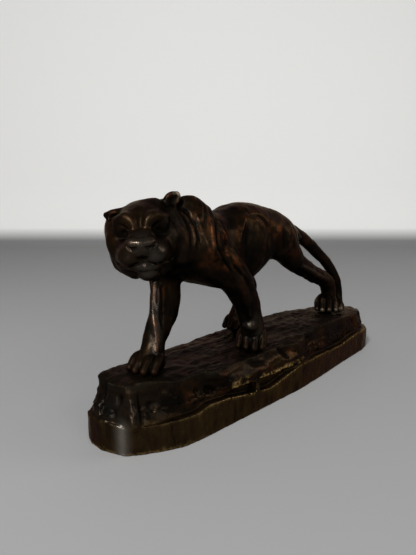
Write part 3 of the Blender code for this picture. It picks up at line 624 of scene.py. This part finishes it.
def mottle(points, size, seed):
    """Noise with blotches of one size in every direction."""
    return noise(*(points / size).T, seed)


def sample(clay, points):
    """The clay's distance at each point, in between its cells."""
    spot = (points - clay.low) / CELL
    cell = np.clip(np.floor(spot).astype(int), 0, np.array(clay.value.shape) - 2)
    return blend_corners(clay.value, cell.T, np.clip(spot - cell, 0, 1).T)


def outward(clay, points, step):
    """Unit normals, read from the clay over a step in millimetres."""
    slope = np.empty_like(points)
    for i in range(3):
        shift = np.zeros(3)
        shift[i] = step
        slope[:, i] = sample(clay, points + shift) - sample(clay, points - shift)
    return slope / np.maximum(np.linalg.norm(slope, axis=1), TINY)[:, None]


def soften(values, cells):
    """A box blur of the clay, the same way along each axis."""
    out = values.astype(np.float32)
    for axis in range(3):
        total = np.cumsum(out, axis=axis, dtype=np.float32)
        ahead = np.roll(total, -cells, axis=axis)
        behind = np.roll(total, cells + 1, axis=axis)
        out = (ahead - behind) / (2 * cells + 1)
    return out


def swelling(clay, points, radius):
    """How far the surface stands out of its surroundings, in millimetres: below zero in hollows."""
    blurred = copy.copy(clay)
    blurred.value = soften(np.clip(clay.value, -3 * radius, 3 * radius), round(radius / CELL))
    return sample(blurred, points)


def ridges(value):
    """Noise folded into sharp-edged furrows, 0 in the furrow and 1 on the ridge."""
    return 1 - np.abs(value)


# Line of one strand of coat, as (height, how far it has swept back), and its middle on the hump
STRAND_SWEEP = [(100, 22), (110, 14.4), (115, 9.4), (122, 3.5), (131, -2.6), (139, -3), (148, -1.8),
                (156, 0), (166, 3)]

# Lines of the near side as (points, rise, half width) in millimetres: edges of the mane, ribs and thigh.
# A rise below zero is a groove.
FOLDS = [
    ([(-101.5, -24, 157), (-101.6, -27, 150), (-103.5, -31, 140), (-104.4, -33, 131), (-96, -33, 121),
      (-87, -33.4, 109)], 2, 1.5),
    ([(-98, -25, 157), (-97.8, -28, 150), (-99.6, -32, 140), (-100, -34, 131), (-92, -33, 120),
      (-83.5, -34, 109)], -1.8, 1.3),
    ([(-92.8, -26.6, 148), (-88.2, -27.4, 138), (-83.3, -29.8, 129), (-80, -35, 119), (-75, -36, 110)],
     1.8, 1.4),
    ([(-88.8, -26, 148), (-84.4, -27.4, 138), (-79.6, -30, 129), (-76, -35, 119)], -1.6, 1.3),
    ([(-110, -22, 158), (-111, -26, 146), (-109, -30, 139), (-107, -32, 130), (-101, -33, 122)], 1.3, 1.2),
    ([(-94, -31, 137), (-88, -33, 124), (-87, -34, 117)], 1.2, 1.2),
    ([(-96, -25, 155), (-93, -29, 145), (-91, -31, 136), (-86, -32, 126)], 1.2, 1.1),
    ([(-123.2, -15, 161), (-118.1, -18.4, 154.6), (-116.3, -23.3, 146), (-116.4, -26.3, 138),
      (-117.6, -27.4, 132)], 1.7, 1.2),
    ([(-120.5, -14, 163), (-115, -18, 155.4), (-112.9, -23.3, 146), (-113, -27, 138), (-114, -28, 131)],
     -1.5, 1.2),
    ([(-125.1, -22.9, 148), (-122.9, -25.3, 141), (-122.1, -26.3, 133.6)], 1.1, 1),
    ([(-54, -18, 154), (-62, -23, 145), (-67, -25, 138), (-70, -28, 128)], 1.5, 2),
    ([(-50, -19, 153), (-57, -24, 145), (-61, -27, 136), (-63, -29, 126)], -1.2, 2),
    ([(-53, -23, 149), (-46, -25, 149), (-40.5, -27, 143), (-40.5, -29, 134), (-43, -29, 124)], 0.9, 2.3),
    ([(-42, -21, 153), (-35, -24, 149), (-33, -28, 139), (-36, -29, 126)], -0.5, 2.4),
    ([(3, -22, 149), (3, -28, 140), (6, -31, 131), (13, -30, 122), (25, -27, 113)], 1.7, 1.8),
    ([(-1, -27, 142), (-3, -29, 132), (0, -28, 121), (8, -27, 113)], 1.3, 1.6),
    ([(1.5, -26, 141), (1, -30, 132), (6, -29, 121), (15, -28, 113)], -1.2, 1.2),
    ([(7, -22, 148), (8, -28, 139), (11, -30, 130), (18, -30, 121)], -1.1, 1.5),
    ([(-8, -26, 144), (-9, -28, 132), (-7, -27, 120)], -1, 2.4),
    ([(-62, -33, 104), (-52, -33, 106), (-40, -32, 110), (-28, -30, 116)], 0.8, 2.2),
    ([(-62, -31, 99), (-48, -31, 101), (-36, -30, 105)], -0.7, 1.8),
]


def line_distance(line, points):
    """Distance to a line of points, and how far along it, from 0 to 1."""
    best = np.full(len(points), HUGE)
    along = np.zeros(len(points))
    total = sum(math.dist(a, b) for a, b in zip(line[:-1], line[1:]))
    done = 0
    for a, b in zip(line[:-1], line[1:]):
        run = np.array(b) - np.array(a)
        t = np.clip((points - np.array(a)) @ run / (run @ run), 0, 1)
        gap = np.linalg.norm(points - np.array(a) - t[:, None] * run, axis=1)
        nearer = gap < best
        best = np.where(nearer, gap, best)
        along = np.where(nearer, (done + t * math.dist(a, b)) / total, along)
        done += math.dist(a, b)
    return best, along


def fold_height(points, lines):
    """Height of all the lines at each point; the far side is given the same ones."""
    near = points * [1, 0, 1] - np.abs(points) * [0, 1, 0]
    height = np.zeros(len(points))
    for line, rise, half in lines:
        low = np.min(np.array(line), axis=0) - 4 * half
        high = np.max(np.array(line), axis=0) + 4 * half
        inside = np.all((near > low) & (near < high), axis=1)
        gap, along = line_distance(line, near[inside])
        taper = np.clip(np.sin(math.pi * np.clip(along * 0.96 + 0.02, 0, 1)) * 1.6, 0, 1)
        height[inside] += rise * np.exp(-(gap / half) ** 2) * taper
    return height


def head_share(points):
    """1 on the face, 0 behind the ears."""
    local = (points - np.array(place(*HEAD_SPOT))) @ head_axes()
    return ramp(local[:, 0], -2, 6), local


def strand_height(points):
    x, y, z = points.T
    sweep = np.interp(z, [p[0] for p in STRAND_SWEEP], [p[1] for p in STRAND_SWEEP])
    across = x - sweep + 2.6 * mottle(points, 19, 21)
    wave = noise(across / 3.6, z / 40, y / 60, 22)
    thin = noise(across / 1.6, z / 24, y / 40, 23)
    strong = 0.35 + 0.65 * np.clip(mottle(points, 15, 25) + 0.5, 0, 1)
    height = (2.3 * (0.28 - np.abs(wave)) + 0.45 * thin) * strong
    place_share = ramp(across, -131, -121) * ramp(across, -68, -84)
    up_share = ramp(z, 104, 116) * ramp(z, 166, 156)
    side = ramp(np.abs(y + 1), 7, 15)
    return height * place_share * up_share * side


def coat_relief(points, normals):
    """Height of the coat over the modelled figure, in millimetres."""
    x, y, z = points.T
    face, local = head_share(points)
    body = (1 - face) * ramp(z, 92, 102)
    height = strand_height(points) * (1 - face)
    height = height + fold_height(points, FOLDS)
    # Fur that follows the cheek round from ear to jaw
    round_face = np.hypot(local[:, 1], local[:, 2] + 4)
    turn = np.arctan2(local[:, 1], local[:, 2] + 4)
    rings = noise((round_face + 1.5 * mottle(points, 9, 24)) / 2.6, turn * 2.2, 0 * x, 26)
    cheek = ramp(round_face, 20, 24) * ramp(round_face, 37, 34)
    cheek = cheek * ramp(local[:, 0], -14, -9) * ramp(local[:, 0], 15, 10)
    cheek = cheek * ramp(local[:, 2], 13, 7) * ramp(z, 112, 118)
    height = height + 0.75 * rings * cheek
    # Short fur on the trunk, tool marks all over
    lie = 0.5 * mottle(points, 23, 3)
    fur = noise((x - z * 0.5) / 2 + lie * 3, y / 6, (z + x * 0.5) / 12 + lie, 4)
    fur = fur * ramp(x, 70, 60)
    hand = mottle(points, 7, 5) + 0.8 * mottle(points, 13, 8)
    press = noise(x / 3, y / 3, z / 3.4, 6)
    legs = ramp(z, 96, 84)
    cords = noise(x / 4.5, y / 4.5, z / 22, 7)
    height = height + 0.11 * fur * body * ramp(z, 112, 124)
    height = height + 0.38 * hand * (1 - 0.4 * face) + 0.12 * press
    slack = ramp(x, 82, 72)
    return height + 0.45 * cords * legs * slack * ramp(z, 58, 68)


# Crack in the band, notches in its foot and dents in the rock, as (points, rise, half width)
ROCK_MARKS = [
    ([(-147.8, -34.5, 21), (-146.2, -35, 16), (-146.6, -35.2, 11), (-144.6, -35.5, 6), (-145, -35.6, 1)],
     -0.9, 0.7),
    ([(-155, -32, 21), (-147, -33.5, 22.5), (-139, -35, 21)], -1, 1),
    ([(-114, -32, 33), (-110, -34, 29), (-104, -35, 27)], -2.4, 2.4),
    ([(-99, -37, 31), (-94, -39, 27.5)], -2.2, 2),
    ([(-124, -31, 34), (-118, -32.5, 31)], -1.6, 2.2),
    ([(-156, -22, 40), (-156, -24, 31), (-159, -26, 23)], -2.2, 2),
    ([(-164, -16, 42), (-165, -17.5, 32), (-166, -20, 22)], 1.2, 1.6),
    ([(-169, -11, 40), (-170, -10, 31), (-171, -8, 24)], -1.6, 1.8),
    ([(-31, -38, 45), (-27, -40, 38), (-22, -42, 32)], -2.2, 1.8),
    ([(-14, -40, 45), (-6, -42, 38), (2, -43, 33)], 1.8, 3.2),
    ([(22, -38, 45), (14, -41, 38), (11, -43, 32)], -1.8, 2),
    ([(44, -36, 43), (40, -39, 36), (43, -41, 29)], -1.6, 2.2),
    ([(80, -36, 42), (86, -38, 34), (84, -38, 27)], -1.8, 2.4),
    ([(-72, -38, 44), (-64, -39, 38), (-50, -40, 36)], -1.2, 2),
    ([(118, -33, 38), (124, -34, 31), (128, -34, 26)], -1.6, 2.4),
]


def rock_relief(points, normals):
    x, y, z = points.T
    lean = np.clip(normals[:, 2] * 2.2 - 0.7, 0, 1) * ramp(z, 33, 39)
    bend = 4 * noise(x / 22, y / 14, z / 20, 11)
    grain = ridges(noise(x / 12, (y + bend) / 3.6, z / 9, 12)) - 0.6
    fine = ridges(noise(x / 6, (y + bend) / 2, z / 6, 13)) - 0.6
    chop = mottle(points, 5, 14)
    side = (1 - lean) * ramp(z, 22, 27)
    top = lean * (0.8 * grain + 0.4 * fine + 0.5 * chop)
    strata = noise(x / 17, y / 17, (z + 1.5 * mottle(points, 9, 19)) / 2.6, 15)
    broad = noise(x / 11, y / 11, z / 8, 29)
    rough = side * (0.9 * broad + 0.45 * strata + 0.35 * chop + 0.18 * mottle(points, 2, 16))
    ragged = np.exp(-((z - 27.5) / 3) ** 2) * side * noise(x / 2.2, y / 2.2, z / 1.8, 28)
    streak = noise(x / 1.5, y / 1.5, z / 14, 17)
    rim = (1 - side) * (1 - lean) * (0.05 * streak + 0.24 * noise(x / 5, y / 5, z / 6, 18))
    rim = rim + (1 - side) * (1 - lean) * 0.12 * noise(x / 1.8, y / 1.8, z / 2.2, 33)
    total = top + rough + rim + 0.7 * ragged + fold_height(points, ROCK_MARKS)
    return np.where(z > 1, total, np.where(z > 0.3, np.minimum(total, 0), 0))


def add_object(name, data):
    made = bpy.data.objects.new(name, data)
    bpy.context.collection.objects.link(made)
    return made


def skin(clay, relief, name):
    """The clay's surface as an object, with the relief moved in and evenly thinned out."""
    grid = openvdb.FloatGrid(FAR)
    grid.copyFromArray(clay.value)
    points, quads = grid.convertToQuads()
    points = points * CELL + clay.low
    normals = outward(clay, points, 1)
    points = points + normals * relief(points, normals)[:, None]
    low, high = np.array(cad_low) / MM, np.array(cad_high) / MM
    points = np.clip(points, low + BOX_CLEARANCE, high - BOX_CLEARANCE)
    mesh = bpy.data.meshes.new(name)
    mesh.from_pydata((points * MM).tolist(), [], quads.tolist())
    mesh.update()
    piece = add_object(name, mesh)
    fewer = piece.modifiers.new("fewer_faces", "DECIMATE")
    fewer.ratio = min(TRIANGLES / (2 * len(quads)), 1)
    thinned = piece.evaluated_get(bpy.context.evaluated_depsgraph_get())
    kept = bpy.data.meshes.new_from_object(thinned)
    kept.name = name
    piece.modifiers.clear()
    piece.data = kept
    bpy.data.meshes.remove(mesh)
    kept.shade_smooth()
    return piece


def read(piece, kind):
    """One row for each corner of the mesh: its place for "co", its direction for "normal"."""
    flat = np.empty(len(piece.data.vertices) * 3)
    piece.data.vertices.foreach_get(kind, flat)
    return flat.reshape(-1, 3)


def gap_to(points, spot):
    return np.linalg.norm(points - np.array(spot), axis=1)


def paint(piece, name, values):
    layer = piece.data.attributes.new(name, "FLOAT", "POINT")
    layer.data.foreach_set("value", np.clip(values, 0, 1).astype(np.float32))


# Material

class Nodes:
    """Short names for the node tree of one material."""

    def __init__(self, name):
        self.material = bpy.data.materials.new(name)
        self.material.use_nodes = True
        self.tree = self.material.node_tree
        self.skin = self.tree.nodes["Principled BSDF"]

    def look(self, settings):
        for key, value in settings.items():
            self.skin.inputs[key].default_value = value

    def wire(self, source, target):
        self.tree.links.new(source, target)

    def add(self, kind, **settings):
        node = self.tree.nodes.new(kind)
        for key, value in settings.items():
            if key in node.inputs:
                node.inputs[key].default_value = value
            else:
                setattr(node, key, value)
        return node

    def value(self, name):
        return self.add("ShaderNodeAttribute", attribute_name=name).outputs["Fac"]

    def math(self, operation, a, b):
        node = self.add("ShaderNodeMath", operation=operation)
        for socket, given in zip(node.inputs, (a, b)):
            if isinstance(given, float):
                socket.default_value = given
            else:
                self.wire(given, socket)
        return node.outputs[0]

    def times(self, a, b):
        return self.math("MULTIPLY", a, b)

    def remap(self, value, low, high, to_low=0.0, to_high=1.0):
        node = self.add("ShaderNodeMapRange", **{"From Min": low, "From Max": high, "To Min": to_low,
                                                 "To Max": to_high})
        self.wire(value, node.inputs["Value"])
        return node.outputs["Result"]

    def mix(self, share, a, b):
        node = self.add("ShaderNodeMix", data_type="RGBA")
        self.wire(share, node.inputs["Factor"])
        for socket, given in zip((node.inputs[6], node.inputs[7]), (a, b)):
            if isinstance(given, tuple):
                socket.default_value = given + (1.0,)
            else:
                self.wire(given, socket)
        return node.outputs[2]

    def noise(self, where, scale, detail=3.0, rough=0.55):
        node = self.add("ShaderNodeTexNoise", Scale=scale, Detail=detail, Roughness=rough)
        self.wire(where, node.inputs["Vector"])
        return node.outputs["Fac"]

    def stretched(self, scales):
        spot = self.add("ShaderNodeTexCoord").outputs["Object"]
        node = self.add("ShaderNodeMapping", Scale=scales)
        self.wire(spot, node.inputs["Vector"])
        return node.outputs["Vector"]


# Black of the patina in hollows, also the colour of painted shade
HOLLOW_PATINA_AND_SHADE_BLACK = (0.0016, 0.0013, 0.0011)
PATINA_BLACK = (0.005, 0.0038, 0.0028)
PATINA_BROWN = (0.021, 0.0115, 0.0052)
PATINA_RED = (0.12, 0.037, 0.01)
STONE_GREY = (0.0105, 0.009, 0.0062)
OLIVE_BRASS = (0.06, 0.035, 0.012)
BRIGHT_BRASS = (0.42, 0.27, 0.1)
# Pale worn metal where greyed; at the band's front corner a painted highlight
PALE_WEAR_AND_SHEEN = (0.62, 0.58, 0.5)
# Paler base colour of painted highlights
PAINTED_HIGHLIGHT_BRONZE = (0.3, 0.275, 0.24)


def bronze(name):
    """Patinated bronze: dark in hollows, brown and red where thin, brass where worn through, with painted
    shade darkening it and painted highlights lightening it.
    """
    n = Nodes(name)
    even = n.stretched((1, 1, 1))
    broad = n.noise(even, 38.0)
    middling = n.noise(even, 140.0, 4.0)
    fine = n.noise(even, 900.0, 2.0)
    streaks = n.noise(n.stretched((1, 1, 0.35)), 190.0, 5.0, 0.65)
    colour = n.mix(n.remap(broad, 0.38, 0.64), PATINA_BLACK, PATINA_BROWN)
    for layer, pattern, low, high, tone in (("red", middling, 0.42, 0.62, PATINA_RED),
                                            ("grey", middling, 0.25, 0.6, STONE_GREY),
                                            ("olive", streaks, 0.3, 0.72, OLIVE_BRASS)):
        colour = n.mix(n.times(n.value(layer), n.remap(pattern, low, high)), colour, tone)
    worn = n.times(n.value("worn"), n.remap(n.noise(even, 420.0, 3.0), 0.36, 0.58))
    # Worn through to brass, paler where greyed: at the band's front corner this is painted highlight
    colour = n.mix(worn, colour, n.mix(n.value("grey"), BRIGHT_BRASS, PALE_WEAR_AND_SHEEN))
    # Painted highlight: a paler base colour where the mesh is marked polished, along with lower roughness
    colour = n.mix(n.times(n.value("polish_and_painted_highlight"), 0.6), colour, PAINTED_HIGHLIGHT_BRONZE)
    # Patina in hollows and painted shade, both darkened toward black
    colour = n.mix(n.value("patina_and_painted_shade"), colour, HOLLOW_PATINA_AND_SHADE_BLACK)
    n.wire(colour, n.skin.inputs["Base Color"])
    rough = n.remap(middling, 0.3, 0.7, 0.21, 0.4)
    rough = n.math("ADD", rough, n.times(n.value("grey"), 0.22))
    rough = n.math("ADD", rough, n.times(n.value("patina_and_painted_shade"), 0.25))
    smoother = n.math("MINIMUM", n.times(n.value("polish_and_painted_highlight"), 1.7), 0.12)
    rough = n.math("SUBTRACT", rough, smoother)
    n.wire(rough, n.skin.inputs["Roughness"])
    n.look({"Metallic": 0.86, "Specular IOR Level": 0.3, "Specular Tint": (0.47, 0.39, 0.29, 1.0)})
    bump = n.add("ShaderNodeBump", Strength=0.4, Distance=0.0006)
    height = n.math("ADD", n.times(fine, 0.35), middling)
    n.wire(height, bump.inputs["Height"])
    n.wire(bump.outputs["Normal"], n.skin.inputs["Normal"])
    return n.material


# Stage, light and camera

FLOOR_GREY = (0.34, 0.34, 0.34)
WALL_GREY = (0.66, 0.66, 0.65)
WALL_GLOW = 0.36
WORLD_GLOW = 0.17
# Sizes of the stage in metres; between FLOOR_END and WALL_START in height one grey turns into the other
FLOOR_END = 0.02
WALL_START = 0.07
STAGE_HALF = 3.0
WALL_DISTANCE = 1.52
WALL_TOP = 2.2
WALL_BEND = 0.25
BEND_STEPS = 12
# Square lamps as (name, place, size in metres, watts), and the point they are aimed at
LAMPS = [("key", (-1.25, -0.35, 1.15), 0.28, 23.0), ("window", (-1.35, -0.75, 0.42), 0.26, 5.0),
         ("fill", (-0.3, -1.7, 1.1), 1.0, 6.0), ("edge", (1.1, -1.0, 0.9), 0.7, 5.0)]
LAMP_TARGET = Vector((0, 0, 0.08))
# The camera that the photograph's perspective gives, in metres and degrees
CAMERA_SPOT = (-0.3137, -0.2288, 0.16)
CAMERA_HEADING = 43.97
CAMERA_PITCH = -9.596
SENSOR = 36.0
LENS_SHARE = 417.0 / 555.0


def paper(name):
    """Grey floor that turns into a pale wall; it looks brighter, also in the metal, than it shines."""
    n = Nodes(name)
    split = n.add("ShaderNodeSeparateXYZ")
    n.wire(n.add("ShaderNodeTexCoord").outputs["Object"], split.inputs["Vector"])
    up = n.remap(split.outputs["Z"], FLOOR_END, WALL_START)
    n.wire(n.mix(up, FLOOR_GREY, WALL_GREY), n.skin.inputs["Base Color"])
    n.look({"Roughness": 0.75, "Specular IOR Level": 0.3, "Emission Color": (1.0, 0.99, 0.96, 1.0)})
    rays = n.add("ShaderNodeLightPath").outputs
    mirrored = n.math("MAXIMUM", rays["Is Glossy Ray"], rays["Is Transmission Ray"])
    seen = n.math("MAXIMUM", rays["Is Camera Ray"], mirrored)
    n.wire(n.times(n.times(up, seen), WALL_GLOW), n.skin.inputs["Emission Strength"])
    return n.material


def add_stage():
    """A floor that curves up into a backdrop, square to the camera."""
    heading = math.radians(CAMERA_HEADING)
    ahead = Vector((math.cos(heading), math.sin(heading), 0.0))
    aside = Vector((math.sin(heading), -math.cos(heading), 0.0))
    foot = WALL_DISTANCE - WALL_BEND
    profile = [(-STAGE_HALF, 0.0), (foot, 0.0)]
    for k in range(1, BEND_STEPS + 1):
        angle = math.radians(90 * k / BEND_STEPS)
        profile.append((foot + WALL_BEND * math.sin(angle), WALL_BEND - WALL_BEND * math.cos(angle)))
    profile.append((WALL_DISTANCE, WALL_TOP))
    points = [ahead * along + aside * side + Vector((0, 0, up))
              for along, up in profile for side in (-STAGE_HALF, STAGE_HALF)]
    faces = [(2 * k, 2 * k + 1, 2 * k + 3, 2 * k + 2) for k in range(len(profile) - 1)]
    mesh = bpy.data.meshes.new("studio_floor")
    mesh.from_pydata(points, [], faces)
    mesh.update()
    mesh.shade_smooth()
    floor = add_object("studio_floor", mesh)
    mesh.materials.append(paper("pale_paper"))


def add_lamps():
    for name, spot, size, power in LAMPS:
        light = bpy.data.lights.new(name, "AREA")
        light.shape = "SQUARE"
        light.size = size
        light.energy = power
        lamp = add_object(name, light)
        lamp.location = spot
        lamp.rotation_euler = (LAMP_TARGET - Vector(spot)).to_track_quat("-Z", "Y").to_euler()


def add_camera():
    data = bpy.data.cameras.new("photo_camera")
    data.sensor_fit = "VERTICAL"
    data.sensor_height = SENSOR
    data.lens = SENSOR * LENS_SHARE
    data.clip_start = 0.01
    camera = add_object("photo_camera", data)
    camera.location = CAMERA_SPOT
    camera.rotation_euler = (math.radians(90 + CAMERA_PITCH), 0, math.radians(CAMERA_HEADING - 90))
    bpy.context.scene.camera = camera


def add_world():
    world = bpy.data.worlds.new("studio")
    world.use_nodes = True
    glow = world.node_tree.nodes["Background"].inputs
    glow["Color"].default_value = (1, 1, 1, 1)
    glow["Strength"].default_value = WORLD_GLOW
    bpy.context.scene.world = world


def dress(piece, material):
    piece.data.materials.clear()
    piece.data.materials.append(material)
    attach(piece, "root")
    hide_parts("panther_bronze")


def make_figure(material):
    clay = figure_clay()
    piece = skin(clay, coat_relief, "panther_figure")
    points = read(piece, "co") / MM
    x, y, z = points.T
    tight = swelling(clay, points, 2.5)
    wide = swelling(clay, points, 7.0)
    face, local = head_share(points)
    face = face * ramp(gap_to(local, (0, 0, 0)), 46, 40)
    ear = ramp(local[:, 1], 22, 24) * ramp(local[:, 2], 13, 16)
    toes = ramp(x, 84, 92) * ramp(z, 64, 58)
    # Painted shade filling the eye sockets
    socket_shade = np.zeros(len(points))
    for side in (-1, 1):
        centre = (15, side * EYE_SPACING / MM / 2 * 0.98, 6)
        gap = np.linalg.norm((local - centre) / [1.4, 1, 0.95], axis=1)
        socket_shade = np.maximum(socket_shade, ramp(gap, 7.2, 5.2))
    # Edge of the tendon down the far foreleg: tinted red as worn, and given a painted highlight and less
    # painted shade
    strip = line_distance([(-128, 5, 104), (-129, 5, 93), (-132, 2, 83), (-134, -3, 75), (-134, -6, 67),
                           (-137, -8, 61)], points)[0]
    patches = np.clip(1.6 * mottle(points, 15, 31) - 0.1, 0, 1) * ramp(z, 84, 104)
    patches = patches * np.clip((152 - z) / 8, 0.2, 1)
    red = 0.8 * np.clip(tight - 0.05, 0, 0.6) + 0.55 * patches + np.clip(1.2 - strip / 1.5, 0, 0.9)
    worn = np.clip(tight * 1.5 - 0.55, 0, 1) * np.clip(ear + 0.8 * toes, 0, 1)
    # Warm painted highlight along the brow ridges, added to the red of thin patina
    brow_highlight_tint = face * ramp(local[:, 2], 9, 12) * ramp(local[:, 2], 20, 16)
    paint(piece, "red", red * (1 - 0.8 * face) + 0.22 * brow_highlight_tint * np.clip(tight, 0, 1))
    paint(piece, "grey", np.clip(0.1 + wide * 0.14, 0, 0.5))
    paint(piece, "olive", 0.25 * face * np.clip(tight * 0.8 - 0.1, 0, 0.6))
    paint(piece, "worn", worn)
    # Painted highlights: faint over the muzzle, stronger at the near wrist and the far tendon edge
    muzzle = face * ramp(local[:, 0], 16, 22) * ramp(local[:, 2], 9, 6)
    wrist_highlight = ramp(gap_to(points, (-57, -31, 66)), 14, 9)
    # Painted highlights on the nose, lip and chin, with less darkening there
    highlight_tips = np.zeros(len(points))
    for spot, reach in (((36, 0, 4.5), 8), ((35, 8, -6), 6), ((32.5, 2, -16.5), 8)):
        highlight_tips = np.maximum(highlight_tips, np.clip(1.4 - gap_to(local, spot) / reach, 0, 1))
    foreleg_highlight = np.clip(wrist_highlight + np.clip(1.6 - strip / 4.0, 0, 1), 0, 1)
    paint(piece, "polish_and_painted_highlight", 0.035 * muzzle + 0.1 * highlight_tips + 0.12 * foreleg_highlight)
    # Painted shade: darker on faces that point down and on the lower body, less on the tendon edge
    painted_shade_below = np.clip(-read(piece, "normal")[:, 2], 0, 1) * 0.3 + ramp(z, 146, 116) * 0.42
    # Painted shade in the hollow front of the raised ear
    inner_ear = ramp(local[:, 1], 14, 16) * ramp(local[:, 2], 14, 16)
    patina_and_painted_shade = np.clip(-tight * 1.5 - 0.05, 0, 1) + 0.6 * socket_shade + 0.5 * inner_ear * (tight < 0.35)
    paint(piece, "patina_and_painted_shade", patina_and_painted_shade + painted_shade_below * (1 - 0.6 * np.clip(1.6 - strip / 3.0, 0, 1)) - 0.3 * highlight_tips)
    dress(piece, material)


def make_rock(material):
    clay = rock_clay()
    piece = skin(clay, rock_relief, "rock_base")
    points = read(piece, "co") / MM
    x, y, z = points.T
    edge = inside_distance(outline(), x, y)
    tight = swelling(clay, points, 2.0)
    band = ramp(z, 26, 22) * ramp(edge, -6, -3)
    lip = line_distance([(-97, -41, 29.5), (-78, -42, 30), (-58, -43, 27), (-42, -43.5, 26.5),
                         (-20, -44, 26), (0, -45, 26)], points)[0]
    ledge = ramp(lip, 4, 1.5)
    # Painted highlight down the band's front corner: paler, greyer and smoother there
    corner = line_distance([(-174.3, -17.0, 20), (-174.5, -16.8, 1)], points)[0]
    foot = ramp(z, 2.4, 1.2)
    toward = np.clip((x + 150) / 30, 0.25, 1.0)
    worn = np.clip(tight * 1.6 - 0.25, 0, 1) * np.clip(0.36 * band * toward + ledge, 0, 1) * (z > 3.5)
    worn = worn * np.clip((np.abs(x + 64.5) - 2.0) / 1.5, 0.15, 1)
    red = np.clip(0.05 + 0.5 * noise(x / 16, y / 16, z / 12, 32), 0, 0.28) * (z > 24) * (z < 44)
    paint(piece, "red", red * np.clip((x + 162) / 30, 0.1, 1.0))
    # Grey on the rock top is its tone; along the front corner it is part of the painted highlight
    paint(piece, "grey", ramp(z, 38, 44) * 0.8 + np.clip((3.5 - corner) / 2, 0, 0.9))
    paint(piece, "olive", band * np.clip(0.45 + (x + 150) / 300, 0.45, 0.8) + 0.6 * foot)
    paint(piece, "worn", worn + 0.35 * foot * ramp(x, -110, -140))
    # Front folds: a faint painted highlight, and darker base colour
    lobes = ramp(x, -146, -166) * ramp(z, 20, 23) * ramp(z, 40, 36)
    corner_highlight = ramp(corner, 9, 0) ** 2
    paint(piece, "polish_and_painted_highlight", 0.05 * lobes + 0.85 * corner_highlight)
    paint(piece, "patina_and_painted_shade", np.clip(-tight - 0.15, 0, 0.8) + 0.35 * lobes)
    dress(piece, material)


add_camera()
add_stage()
add_world()
add_lamps()

metal = bronze("dark_bronze_patina")
make_rock(metal)
make_figure(metal)

bpy.context.scene.view_settings.view_transform = "Standard"
